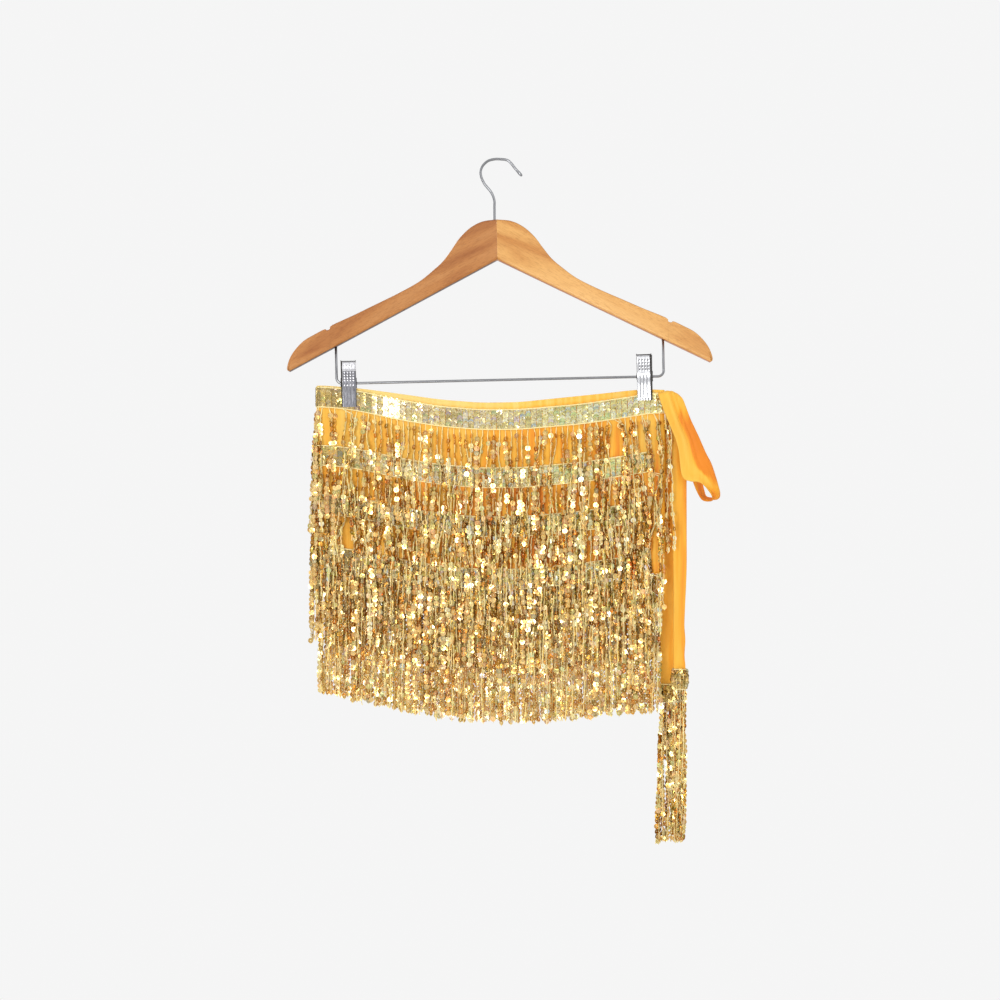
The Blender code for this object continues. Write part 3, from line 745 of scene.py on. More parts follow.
def tilted(points):
    """Points of the upright hanger, turned to how it hangs."""
    return turned(points, Matrix.Rotation(-HANGER_TILT, 3, "Y"))


# Meshes.


def quads(index, closed=False):
    """Faces of a grid of point numbers, whose columns may close to a ring."""
    if closed:
        index = np.hstack([index, index[:, :1]])
    corners = (index[:-1, :-1], index[:-1, 1:], index[1:, 1:], index[1:, :-1])
    return np.stack(corners, -1).reshape(-1, 4)


def add_to_scene(name, data):
    obj = bpy.data.objects.new(name, data)
    bpy.context.scene.collection.objects.link(obj)
    return obj


def new_object(name, points, faces, material, smooth=True, uv=None):
    """A mesh object from millimetre points. uv gives each point's place on the flat cloth."""
    mesh = bpy.data.meshes.new(name)
    mesh.from_pydata((np.asarray(points, float).reshape(-1, 3) * MM).tolist(), [], list(faces))
    mesh.polygons.foreach_set("use_smooth", [smooth] * len(mesh.polygons))
    mesh.materials.append(material)
    if uv is not None:
        corners = np.zeros(len(mesh.loops), np.int32)
        mesh.loops.foreach_get("vertex_index", corners)
        layer = mesh.uv_layers.new(name="flat_cloth")
        layer.data.foreach_set("uv", (np.asarray(uv, float)[corners] * MM).ravel())
    mesh.update()
    return add_to_scene(name, mesh)


def write_values(obj, name, values):
    """Stores a number for each point of a mesh, which its material reads by name."""
    attribute = obj.data.attributes.new(name, "FLOAT", "POINT")
    attribute.data.foreach_set("value", values.astype(np.float32))


def shell(outer, inner):
    """Points and faces of a thin wall between two grids of the same shape."""
    rows, columns = outer.shape[:2]
    front = np.arange(rows * columns).reshape(rows, columns)
    back = front + rows * columns
    rim = np.concatenate([front[0, :-1], front[:-1, -1], front[-1, :0:-1], front[:0:-1, 0]])
    after = np.roll(rim, -1)
    side = np.stack([after, rim, rim + rows * columns, after + rows * columns], -1)
    faces = np.vstack([quads(front), quads(back)[:, ::-1], side])
    points = np.vstack([outer.reshape(-1, 3), inner.reshape(-1, 3)])
    return points, faces.tolist()


def grid_normals(grid):
    return unit(np.cross(np.gradient(grid, axis=0), np.gradient(grid, axis=1)))


def wall(grid, thickness):
    """Outer and inner grids of a thin wall of even thickness about a grid of middle points."""
    shift = grid_normals(grid) * thickness / 2
    return grid + shift, grid - shift


def grid_lengths(grid):
    """Each point's distance along its row and down its column, on the flat cloth."""
    along = np.linalg.norm(np.diff(grid, axis=1), axis=2).cumsum(axis=1)
    down = np.linalg.norm(np.diff(grid, axis=0), axis=2).cumsum(axis=0)
    across = np.pad(along, ((0, 0), (1, 0)))
    below = np.pad(down, ((1, 0), (0, 0)))
    return np.stack([across, below], -1).reshape(-1, 2)


def cloth_object(name, outer, inner, material, layers):
    """A thin wall of chiffon between two grids. Layers says how dense the cloth looks at each
    grid point, with painted shade given as more density: 0 where it is single and 1 where it is dense."""
    points, faces = shell(outer, inner)
    lengths = grid_lengths((outer + inner) / 2)
    obj = new_object(name, points, faces, material, uv=np.vstack([lengths, lengths]))
    one_face = np.broadcast_to(layers, outer.shape[:2]).ravel()
    write_values(obj, "layers", np.concatenate([one_face, one_face]))
    return obj


def tubes(paths, radius, sides, ends=True):
    """Points and faces of tubes round paths of equal length: (paths, points, 3)."""
    paths = np.asarray(paths, float)
    count, length = paths.shape[:2]
    along = unit(np.gradient(paths, axis=1))
    helper = np.where(np.abs(along[..., 1:2]) > 0.9, (1.0, 0.0, 0.0), (0.0, 1.0, 0.0))
    across = unit(np.cross(along, helper))
    up = np.cross(across, along)
    angles = math.tau * np.arange(sides) / sides
    reach = np.broadcast_to(np.asarray(radius, float), (count, length))[..., None, None]
    ring = np.cos(angles)[:, None] * across[:, :, None] + np.sin(angles)[:, None] * up[:, :, None]
    points = paths[:, :, None] + reach * ring
    faces = []
    for i in range(count):
        index = np.arange(length * sides).reshape(length, sides) + i * length * sides
        faces += quads(index, closed=True).tolist()
        if ends:
            faces.append(index[0].tolist()[::-1])
            faces.append(index[-1].tolist())
    return points.reshape(-1, 3), faces


def joined(parts):
    """One list of points and faces from several."""
    points, faces, start = [], [], 0
    for more, sides in parts:
        points.append(np.asarray(more, float).reshape(-1, 3))
        faces += [[k + start for k in side] for side in sides]
        start += len(points[-1])
    return np.vstack(points), faces


def creased(along, across, creases):
    """Height of soft ridges and troughs, each along a line between two places."""
    height = 0.0
    for a0, b0, a1, b1, half, lift in creases:
        length = math.hypot(a1 - a0, b1 - b0)
        ahead = ((along - a0) * (a1 - a0) + (across - b0) * (b1 - b0)) / length
        aside = ((along - a0) * (b1 - b0) - (across - b0) * (a1 - a0)) / length
        height = height + lift * window(CREASE_START, CREASE_END, ahead / length) * bell(aside, half)
    return height


# Materials.


def new_material(name, **values):
    """A node material and its shader, with values for the shader's own sockets."""
    made = bpy.data.materials.new(name)
    made.use_nodes = True
    shader = made.node_tree.nodes["Principled BSDF"]
    for socket, value in values.items():
        shader.inputs[socket.replace("_", " ")].default_value = value
    return made, made.node_tree, shader


def add_node(tree, kind, settings=None, inputs=None):
    """A shader node with its settings, and values or links for its inputs."""
    node = tree.nodes.new("ShaderNode" + kind)
    for key, value in (settings or {}).items():
        setattr(node, key, value)
    for key, value in (inputs or {}).items():
        if hasattr(value, "links"):
            tree.links.new(value, node.inputs[key])
        else:
            node.inputs[key].default_value = value
    return node


def plug(tree, shader, **outputs):
    """Links node outputs to the shader's sockets."""
    for socket, output in outputs.items():
        tree.links.new(output, shader.inputs[socket.replace("_", " ")])


def ramp(tree, factor, stops):
    """A colour ramp node's output. Stops are rows of place and colour."""
    node = add_node(tree, "ValToRGB", inputs={"Fac": factor})
    elements = node.color_ramp.elements
    while len(elements) < len(stops):
        elements.new(0.5)
    for element, (place, colour) in zip(elements, stops):
        element.position = place
        element.color = colour
    return node.outputs["Color"]


def multiplied(tree, first, second):
    """The product of two colours."""
    node = add_node(tree, "Mix", {"data_type": "RGBA", "blend_type": "MULTIPLY"})
    node.inputs[0].default_value = 1.0
    tree.links.new(first, node.inputs[6])
    tree.links.new(second, node.inputs[7])
    return node.outputs[2]


def shaded(tree, colour, factor, tone, low, high):
    """A colour times a tone where the factor is below low, and left as it is from high on."""
    return multiplied(tree, colour, ramp(tree, factor, ((low, (*tone, 1.0)), (high, grey(1.0)))))


def object_place(tree, scale=(1.0, 1.0, 1.0), lean=0.0):
    """Places in the part's frame, leant about the depth axis and then stretched."""
    coords = add_node(tree, "TexCoord").outputs["Object"]
    leant = add_node(tree, "Mapping", inputs={"Vector": coords, "Rotation": (0.0, lean, 0.0)})
    stretch = add_node(tree, "Mapping", inputs={"Vector": leant.outputs["Vector"], "Scale": scale})
    return stretch.outputs["Vector"]


def noise(tree, place, scale=1.0, detail=2.0, roughness=0.5, distortion=0.0):
    return add_node(tree, "TexNoise", inputs={
        "Vector": place, "Scale": scale, "Detail": detail, "Roughness": roughness,
        "Distortion": distortion}).outputs["Fac"]


def remapped(tree, value, low=0.0, high=1.0, start=0.0, end=1.0):
    """A value from low to high, brought to lie from start to end."""
    return add_node(tree, "MapRange", inputs={
        "Value": value, "From Min": low, "From Max": high, "To Min": start, "To Max": end,
    }).outputs["Result"]


def product(tree, first, second):
    return add_node(tree, "Math", {"operation": "MULTIPLY"}, {0: first, 1: second}).outputs["Value"]


def vector_result(tree, operation, inputs):
    """The vector that a vector sum, difference or the like gives."""
    return add_node(tree, "VectorMath", {"operation": operation}, inputs).outputs["Vector"]


def mixed_shaders(tree, share, first, second, output):
    """Links two shaders to a tree's output, the second one by its share."""
    mix = add_node(tree, "MixShader", inputs={"Fac": share})
    tree.links.new(first, mix.inputs[1])
    tree.links.new(second, mix.inputs[2])
    tree.links.new(mix.outputs["Shader"], tree.nodes[output].inputs["Surface"])


def add_bump(tree, shader, height, distance, strength):
    """Shades a height from 0 to 1 as relief that is this many metres high."""
    bump = add_node(tree, "Bump", inputs={"Height": height, "Distance": distance, "Strength": strength})
    plug(tree, shader, Normal=bump.outputs["Normal"])


WEAVE_SCALE = 480.0
# Columns: name, share of the light that passes through, how far the vertical painted shadow streaks of
# the strands reach.
CHIFFONS = (("chiffon_weave", 0.08, 0.36), ("tie_chiffon_weave", 0.1, 0.15))
# From single cloth to dense cloth.
CHIFFON_STOPS = (
    (0.0, linear(255, 228, 142)),
    (0.35, linear(255, 204, 80)),
    (0.7, linear(255, 182, 40)),
    (1.0, linear(243, 141, 12)),
)


def plain_weave(tree):
    """Height of the crossing threads of a plain weave on the flat cloth."""
    place = add_node(tree, "UVMap").outputs["UV"]
    warp, weft = [
        add_node(tree, "TexWave", {"bands_direction": way}, {
            "Vector": place, "Scale": WEAVE_SCALE, "Distortion": 0.5}).outputs["Fac"]
        for way in "XY"]
    return product(tree, warp, weft)


def chiffon_material(name, translucency, painted_streak_shade):
    """Thin orange cloth with a fine plain weave and a soft sheen, paler where it is single, deeper where
    painted shade is given as density, with painted shadow streaks of the strands.
    """
    made, tree, shader = new_material(
        name, Roughness=0.62, Sheen_Weight=0.15, Sheen_Roughness=0.45,
        Sheen_Tint=linear(255, 206, 120))
    layers = add_node(tree, "Attribute", {"attribute_name": "layers"}).outputs["Fac"]
    cloud = noise(tree, object_place(tree), scale=22.0, detail=3.0)
    # Painted shadow streaks of the strands: the cloth is made denser and lighter in soft vertical
    # streaks.
    strand_shadow_streaks = noise(tree, object_place(tree, scale=(230.0, 60.0, 16.0)))
    strand_shadow_streaks = remapped(tree, strand_shadow_streaks, low=0.35, high=0.65, start=1.0 - painted_streak_shade, end=1.0 + painted_streak_shade)
    body = ramp(tree, product(tree, layers, strand_shadow_streaks), CHIFFON_STOPS)
    weave = plain_weave(tree)
    colour = shaded(tree, body, cloud, tone=(0.94, 0.9, 0.86), low=0.35, high=0.65)
    colour = shaded(tree, colour, weave, tone=(0.88, 0.86, 0.84), low=0.0, high=0.6)
    plug(tree, shader, Base_Color=colour)
    add_bump(tree, shader, weave, distance=0.00008, strength=0.7)
    through = add_node(tree, "BsdfTranslucent", inputs={"Color": colour})
    mixed_shaders(
        tree, translucency, shader.outputs["BSDF"], through.outputs["BSDF"], "Material Output")
    return made


# Columns: place, red, green, blue.
FRINGE_FLAKES = (
    (0.0, 216, 190, 150),
    (0.3, 255, 247, 220),
    (0.55, 246, 250, 206),
    (0.8, 248, 236, 232),
    (1.0, 255, 242, 208),
)
BAND_FLAKES = (
    (0.0, 176, 160, 112),
    (0.3, 255, 250, 216),
    (0.5, 226, 226, 184),
    (0.7, 206, 206, 210),
    (1.0, 255, 254, 226),
)
# Columns: name, roughness, film, flake scale, flake tilt, flakes.
FOILS = (
    ("band_foil", 0.24, 0.3, 760.0, 0.2, BAND_FLAKES),
    ("fringe_foil", 0.26, 1.0, 1150.0, 0.16, FRINGE_FLAKES),
)


def foil_material(name, roughness, film, flake_scale, flake_tilt, flakes):
    """Holographic foil: a tint for each sequin, broken up into fine glittering flakes, under
    a clear film."""
    made, tree, shader = new_material(
        name, Metallic=1.0, Roughness=roughness, Coat_Weight=film, Coat_Roughness=0.16, Coat_IOR=1.6)
    tint = add_node(tree, "Attribute", {"attribute_name": "tint"}).outputs["Color"]
    flake = add_node(tree, "TexVoronoi", inputs={
        "Vector": object_place(tree), "Scale": flake_scale}).outputs["Color"]
    chance = add_node(tree, "SeparateColor", inputs={"Color": flake}).outputs["Green"]
    shade = ramp(tree, chance, [(place, linear(*colour)) for place, *colour in flakes])
    centred = vector_result(tree, "SUBTRACT", {0: flake, 1: (0.5, 0.5, 0.5)})
    tilt = vector_result(tree, "SCALE", {0: centred, "Scale": flake_tilt})
    surface = add_node(tree, "NewGeometry").outputs["Normal"]
    tipped = vector_result(tree, "ADD", {0: surface, 1: tilt})
    normal = vector_result(tree, "NORMALIZE", {0: tipped})
    plug(tree, shader, Base_Color=multiplied(tree, tint, shade), Normal=normal)
    return made


def thread_material():
    """Pale yellow chain-stitch thread."""
    made, tree, shader = new_material(
        "sequin_thread", Roughness=0.42, IOR=1.7, Sheen_Weight=0.7, Sheen_Roughness=0.5,
        Sheen_Tint=linear(255, 232, 176))
    fibres = noise(tree, object_place(tree), scale=900.0)
    colour = ramp(tree, fibres, ((0.3, linear(255, 226, 144)), (0.65, linear(255, 240, 178))))
    plug(tree, shader, Base_Color=colour)
    add_bump(tree, shader, fibres, distance=0.0002, strength=0.6)
    return made


GRAIN_LEAN = math.radians(29.0)
GRAIN_STOPS = (0.32, 0.5, 0.68)
# The lacquer over dark, middle and light grain, as a painted shaded copy for the left wing and a painted
# lit copy for the right, and the painted shade on the underside.
WOOD_LIT_AND_SHADED_COLOURS = {
    "left": (((158, 96, 46), (180, 120, 64), (190, 134, 80)), (116, 92, 78)),
    "right": (((192, 130, 64), (216, 162, 92), (226, 176, 108)), (216, 170, 130)),
}
# Where the painted shade of the undersides and of the top edges starts and ends, from
# facing down to facing up.
WOOD_SHADE_PLACES = (0.08, 0.16, 0.75, 0.95)
TOP_EDGE_PAINTED_SHADE = (214, 190, 160)
# The clips' colours, with painted light and shade: on the plain face, darker on the left clip;
# in its hollows, a painted highlight on the left clip and painted shade on the right; and on its turned
# edges, painted shade.
CLIP_LIT_AND_SHADED_CHROMES = {
    "left": ((132, 132, 138), (228, 228, 232), (60, 58, 56)),
    "right": ((190, 191, 194), (78, 78, 84), (76, 74, 72)),
}
# Lowest and highest roughness, and how fine the scratches are along each axis.
CHROME_FINISH = (0.2, 0.4, (900.0, 900.0, 160.0))
# The same after the colours.
SPRING_STEEL = (((58, 56, 54),) * 3, 0.25, 0.45, (400.0, 400.0, 400.0))
WIRE_STEEL = (((146, 147, 150),) * 3, 0.26, 0.32, (24.0, 24.0, 24.0))


def wood_painted_shade(tree, underside):
    """Painted shade on the undersides and the top edges, none on the faces between."""
    normal = add_node(tree, "NewGeometry").outputs["Normal"]
    facing = add_node(tree, "SeparateXYZ", inputs={"Vector": normal}).outputs["Z"]
    upward = remapped(tree, facing, low=-1.0)
    tones = (linear(*underside), grey(1.0), grey(1.0), linear(*TOP_EDGE_PAINTED_SHADE))
    return ramp(tree, upward, tuple(zip(WOOD_SHADE_PLACES, tones)))


def wood_material(name, lean, colours, underside):
    """Lacquered wood, its grain along the wing, with painted shade on its underside and top edge."""
    made, tree, shader = new_material(
        name, Coat_Weight=0.15, Coat_Roughness=0.25, Specular_IOR_Level=0.3)
    along = object_place(tree, scale=(3.0, 50.0, 52.0), lean=lean)
    grain = noise(tree, along, detail=3.0, distortion=0.5)
    fine = object_place(tree, scale=(60.0, 900.0, 1300.0), lean=lean)
    pores = noise(tree, fine, detail=3.0, roughness=0.65)
    base = ramp(tree, grain, tuple(zip(GRAIN_STOPS, [linear(*colour) for colour in colours])))
    body = shaded(tree, base, pores, tone=(0.8, 0.74, 0.68), low=0.34, high=0.52)
    colour = multiplied(tree, body, wood_painted_shade(tree, underside))
    plug(tree, shader, Base_Color=colour, Roughness=remapped(tree, pores, start=0.48, end=0.32))
    add_bump(tree, shader, pores, distance=0.00012, strength=0.35)
    return made


def metal_material(name, colours, low, high, scratch):
    """Plated steel, smudged and scratched. Colours: plain, pressed hollows, turned edges, which hold the
    clips' painted light and shade.
    """
    made, tree, shader = new_material(name, Metallic=1.0)
    marks = noise(tree, object_place(tree, scratch), detail=4.0, roughness=0.7)
    plain, hollow, edge = [linear(*colour) for colour in colours]
    pressing_light_and_shade = add_node(tree, "Attribute", {"attribute_name": "pressing_light_and_shade"}).outputs["Fac"]
    face = ramp(tree, pressing_light_and_shade, ((0.0, plain), (0.45, hollow), (0.55, hollow), (1.0, edge)))
    colour = shaded(tree, face, marks, tone=(0.86, 0.86, 0.87), low=0.3, high=0.6)
    rough = remapped(tree, marks, low=0.3, high=0.7, start=low, end=high)
    plug(tree, shader, Base_Color=colour, Roughness=rough)
    add_bump(tree, shader, marks, distance=0.00001, strength=0.2)
    return made


def floor_material():
    made, tree, shader = new_material("studio_floor", Roughness=0.85)
    spots = noise(tree, object_place(tree), scale=30.0)
    colour = ramp(tree, spots, ((0.3, linear(229, 228, 226)), (0.7, linear(231, 230, 228))))
    plug(tree, shader, Base_Color=colour)
    return made


# Studio.


def make_camera():
    data = bpy.data.cameras.new("camera")
    data.sensor_width = SENSOR
    data.lens = LENS
    camera = add_to_scene("camera", data)
    camera.location = Vector(EYE) * MM
    camera.rotation_euler = (math.radians(90.0), 0.0, 0.0)
    bpy.context.scene.camera = camera


def make_world():
    """A plain pale backdrop; the light is a room with brighter and dimmer parts."""
    world = bpy.data.worlds.new("studio")
    world.use_nodes = True
    tree = world.node_tree
    place = add_node(tree, "TexCoord").outputs["Generated"]
    depth = add_node(tree, "SeparateXYZ", inputs={"Vector": place}).outputs["Y"]
    share = remapped(tree, depth, low=-1.0)
    room = ramp(tree, share, [(stop, grey(value)) for stop, value in ROOM_LIGHT])
    clouds = noise(tree, place, scale=ROOM_PATCH_SCALE, detail=1.0)
    dim, bright = ROOM_PATCHES
    patches = ramp(tree, clouds, ((0.4, grey(dim)), (0.6, grey(bright))))
    light = tree.nodes["Background"]
    plug(tree, light, Color=multiplied(tree, room, patches))
    seen = add_node(tree, "Background", inputs={"Color": grey(BACKDROP)})
    to_camera = add_node(tree, "LightPath").outputs["Is Camera Ray"]
    lit, plain = [node.outputs["Background"] for node in (light, seen)]
    mixed_shaders(tree, to_camera, lit, plain, "World Output")
    bpy.context.scene.world = world


def make_light(name, row):
    """A square soft light, aimed at the scarf."""
    *place, size, watts = row
    data = bpy.data.lights.new(name, "AREA")
    data.size = size * MM
    data.energy = watts
    light = add_to_scene(name, data)
    light.location = Vector(place) * MM
    light.rotation_euler = (Vector(AIM) - Vector(place)).to_track_quat("-Z", "Y").to_euler()


def make_floor():
    points = [(x, y, FLOOR_Z) for x, y in FLOOR_CORNERS]
    floor = new_object("floor", points, [(0, 1, 2, 3)], floor_material(), smooth=False)


def make_studio():
    make_camera()
    make_world()
    make_light("key", KEY)
    make_light("fill", FILL)
    make_light("rim", RIM)
    make_floor()
    bpy.context.scene.view_settings.view_transform = "Standard"


def place_piece(obj, slot, *nodes):
    """Puts a piece on the one body, in place of CAD nodes, which it hides. The slot is not used."""
    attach(obj, "root")
    if nodes:
        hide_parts(*nodes)
    return obj


# Hanger.


def wood_outline():
    """One wing from the side as distance from the mitre and height: out along the top to the
    tip, and back along points straight below the top's."""
    top = spline(WOOD_TOP, WOOD_STEPS)
    tip = top[-1]
    short = TIP_SPREAD * np.arange(1, len(top))[::-1] / len(top)
    s = np.minimum(top[:-1, 0], tip[0] - short)
    foot = WOOD_ROOT_BOTTOM + (tip[1] - WOOD_ROOT_BOTTOM) * s / tip[0]
    return np.vstack([top, np.stack([s, foot], -1)[::-1]])


def inset_outline(outline, inset):
    """The outline moved inwards, less so at the notch; the root stays in the mitre plane."""
    first = unit(outline - np.roll(outline, 1, axis=0))
    second = unit(np.roll(outline, -1, axis=0) - outline)
    along = unit(first + second)
    near = bell(outline[:, :1] - NOTCH, NOTCH_REACH)
    inwards = inset * (1 - (1 - NOTCH_ROUND_SHARE) * near)
    moved = outline + inwards * np.stack([along[:, 1], -along[:, 0]], -1)
    moved[0] = outline[0] - (0.0, inset)
    moved[-1] = outline[-1] + (0.0, inset)
    return moved


def wing_rings(outline, side):
    """The outline at each depth, smaller at the rounded faces."""
    turn = np.linspace(0.0, QUARTER_TURN, WOOD_ROUND_STEPS)
    depths = WOOD_HALF - WOOD_ROUND * (1 - np.sin(turn))
    insets = WOOD_ROUND * (1 - np.cos(turn))
    profile = [(-d, i) for d, i in zip(depths[::-1], insets[::-1])] + list(zip(depths, insets))
    rings = []
    for depth, inset in profile:
        s, z = inset_outline(outline, inset).T
        x = MITRE_X + side * (s + MITRE_GAP)
        rings.append(tilted(np.stack([x, s * SWEEP + depth, z], -1)))
    return rings


def wing_caps(index):
    """Faces across the first and last ring, each between the top and the bottom line."""
    half = index.shape[1] // 2
    caps = []
    for ring, way in ((index[0], -1), (index[-1], 1)):
        pairs = np.stack([ring[:half + 1], ring[half:][::-1]])
        caps += [list(dict.fromkeys(cap))[::way] for cap in quads(pairs).tolist()]
    return caps


def make_wing(name, side, material):
    """A lacquered wing of the hanger: side is -1 for the left one and 1 for the right."""
    rings = wing_rings(wood_outline(), side)
    index = np.arange(len(rings) * len(rings[0])).reshape(len(rings), -1)
    caps = wing_caps(index)
    faces = quads(index, closed=True).tolist() + caps
    if side > 0:
        faces = [face[::-1] for face in faces]
    wing = new_object(name, np.vstack(rings), faces, material)
    for cap in list(wing.data.polygons)[-len(caps):]:
        cap.use_smooth = False
    return place_piece(wing, "lacquered_wood", name.replace("_wood", ""))


def make_hook(material):
    """The bent wire over the wood, with a rounded tip."""
    path = spline(HOOK_PATH, HOOK_STEPS)
    radii = np.full(len(path), WIRE_RADIUS)
    radii[-len(TIP_SHARES):] = WIRE_RADIUS * np.array(TIP_SHARES)
    points = np.stack([path[:, 0], np.zeros(len(path)), path[:, 1]], -1)
    hook = new_object("hook_wire", *tubes([tilted(points)], radii, WIRE_SIDES), material)
    return place_piece(hook, "polished_steel_wire", "hook")


def make_bar(material):
    """The clips' wire rail under the wood, bent up into it at both ends."""
    angles = np.linspace(0.0, QUARTER_TURN, BAR_BEND_STEPS)
    reach = BAR_REACH - BAR_BEND * (1 - np.cos(angles))
    height = BAR_Z + BAR_BEND * (1 - np.sin(angles))
    half = np.vstack([[(BAR_REACH, BAR_TOP)], np.stack([reach, height], -1)])
    right = np.stack([MITRE_X + half[:, 0], np.full(len(half), BAR_Y), half[:, 1]], -1)
    left = np.stack([MITRE_X - half[::-1, 0], np.full(len(half), BAR_Y), half[::-1, 1]], -1)
    path = tilted(np.vstack([right, left]))
    bar = new_object("bar_wire", *tubes([path], BAR_RADIUS, WIRE_SIDES), material)
    return place_piece(bar, "polished_steel_wire", "bar")


# Clips.


def bar_place(x):
    """Moves a frame whose origin is on the bar's axis, and whose X runs along it, to x."""
    tilt = Matrix.Rotation(-HANGER_TILT, 4, "Y")
    return tilt @ Matrix.Translation((x, BAR_Y, BAR_Z))


def clip_turn(number):
    """The small turn that lays a clip's jaws flat to the cloth."""
    x = CLIP_HUNG_X[number]
    slope = wave(x + 0.5) - wave(x - 0.5)
    return Matrix.Rotation(math.atan(slope * WAVE_AT_CLIPS), 4, "Z")


def grooved(across, height, depth_share):
    """Depth of the grooves in a jaw."""
    ends = window(GROOVE_TOP, GROOVE_FOOT, height)
    return sum(depth_share * GROOVE_DEPTH * ends * bell(across - x, GROOVE_HALF) for x in GROOVES)


def dimpled(across, height, rows):
    """Depth of the rows of dimples in a jaw."""
    depth = 0.0
    for row in rows:
        for x in DIMPLE_COLUMNS:
            away = (across - x) ** 2 + (height - row) ** 2
            depth = depth + DIMPLE_DEPTH * np.exp(-away / DIMPLE_RADIUS ** 2)
    return depth


def jaw_section():
    """Places across a jaw, whose edges are folded inwards, and how far in each place is."""
    flat = np.linspace(-CLIP_HALF + CLIP_CORNER, CLIP_HALF - CLIP_CORNER, CLIP_COLUMNS)
    bend = np.linspace(QUARTER_TURN, 0.0, CLIP_CORNER_STEPS + 1)[:-1]
    left = np.append(-CLIP_HALF, -CLIP_HALF + CLIP_CORNER - CLIP_CORNER * np.sin(bend))
    left_in = np.append(CLIP_FLANGE, CLIP_CORNER * (1 - np.cos(bend)))
    across = np.concatenate([left, flat, -left[::-1]])
    return across, np.concatenate([left_in, np.zeros(CLIP_COLUMNS), left_in[::-1]])


def jaw_grid(number):
    """A jaw's outer face with its edges folded inwards. Depth is negative outside."""
    rows = spline(CLIP_PROFILE, CLIP_STEPS)
    along = unit(np.gradient(rows, axis=0))
    across, inset = jaw_section()
    place = across[None, :], rows[:, 1:]
    inset = inset[None, :] + grooved(*place, GROOVE_DEPTHS[number]) + dimpled(*place, DIMPLE_ROWS[number])
    depth = rows[:, :1] - along[:, 1:] * inset
    height = rows[:, 1:] + along[:, :1] * inset
    return np.stack([np.broadcast_to(across, depth.shape), depth, height], -1)


def ear_plate(side, ears, face):
    """A flat ear beside the bar."""
    outer = [(side * ears, face * depth, height) for depth, height in EAR_PROFILE]
    inner = [(across - side * EAR_SHEET, y, height) for across, y, height in outer]
    index = np.arange(2 * len(outer)).reshape(2, -1)
    faces = quads(index, closed=True).tolist() + [index[0][::-1].tolist(), index[1].tolist()]
    return np.array(outer + inner), faces


def jaw_pressing_light_and_shade(grid, number):
    """Painted light and shade of a jaw: 0 on the plain face, 0.5 in its hollows and on the left clip's
    flare, 1 on the turned edge at the outer side and the top edge.
    """
    across, _, height = np.moveaxis(grid, -1, 0)
    dimples = DIMPLE_LIGHT_AND_SHADE * dimpled(across, height, DIMPLE_ROWS[number]) / DIMPLE_DEPTH
    dimples = np.clip(dimples, 0.0, 1.0)
    grooves = GROOVE_LIGHT_AND_SHADE[number] * grooved(across, height, 1.0) / GROOVE_DEPTH
    tone = 0.5 * np.maximum(dimples, grooves)
    edge = smooth_step(*CLIP_EDGE_SHADE, across * (-1, 1)[number])
    if number == 0:
        flare = window(FLARE_FOOT, FLARE_TOP, height)
        tone = tone * (1 - flare) + 0.5 * (1 - FLARE_DIMPLES * dimples) * flare
        edge = np.maximum(edge, bell(height - FLARE_SHADE_LINE, FLARE_SHADE_LINE_HALF))
    top_edge_shade = smooth_step(*CLIP_TOP_EDGE_SHADE, height)
    return np.maximum(tone * (1 - edge), np.maximum(edge, top_edge_shade))


def make_jaw(name, number, face, ears, material):
    """A jaw of the left clip, number 0, or the right. Face is 1 in front of the bar, -1 behind."""
    grid = jaw_grid(number) * (1.0, face, 1.0)
    plates = [shell(*wall(grid, CLIP_SHEET))] + [ear_plate(side, ears, face) for side in (-1, 1)]
    points, faces = joined(plates)
    # The ears take the turned edges' colour, which is painted shade.
    pressing_light_and_shade = np.ones(len(points))
    one_face = jaw_pressing_light_and_shade(grid, number).ravel()
    pressing_light_and_shade[:2 * len(one_face)] = np.concatenate([one_face, one_face])
    points = turned(points, bar_place(CLIP_X[number]) @ clip_turn(number))
    jaw = new_object(name + "_jaw", points, faces, material)
    write_values(jaw, "pressing_light_and_shade", pressing_light_and_shade)
    jaw.data.set_sharp_from_angle(angle=JAW_SHARP_FROM)
    return place_piece(jaw, "chromed_sheet_steel", name)


def make_spring(name, x, material):
    """A torsion spring round the bar, with a leg up inside each grip."""
    leg_depth, leg_height = SPRING_LEG
    steps = np.arange(int(SPRING_TURNS * SPRING_STEPS) + 1)
    angle = math.pi + math.tau * steps / SPRING_STEPS
    along = -SPRING_HALF + 2 * SPRING_HALF * steps / steps[-1]
    coil = np.stack([along, SPRING_RADIUS * np.cos(angle), -SPRING_RADIUS * np.sin(angle)], -1)
    first = (-SPRING_HALF, -leg_depth, leg_height)
    last = (SPRING_HALF, leg_depth, leg_height)
    path = turned(np.vstack([first, coil, last]), bar_place(x))
    spring = new_object(name + "_coil", *tubes([path], SPRING_WIRE, SPRING_SIDES), material)
    return place_piece(spring, "spring_steel", name)


def make_clips():
    """The two clips, each of two jaws and a spring."""
    dark = metal_material("spring_dark_steel", *SPRING_STEEL)
    # The left and right clips are painted shaded and lit copies of one chrome.
    for number, (label, colours) in enumerate(CLIP_LIT_AND_SHADED_CHROMES.items()):
        chrome = metal_material("clip_chrome_" + label, colours, *CHROME_FINISH)
        make_jaw(f"clip_{label}_front", number, 1, CLIP_FRONT_EARS, chrome)
        make_jaw(f"clip_{label}_back", number, -1, CLIP_BACK_EARS, chrome)
        make_spring(f"clip_{label}_spring", CLIP_X[number], dark)


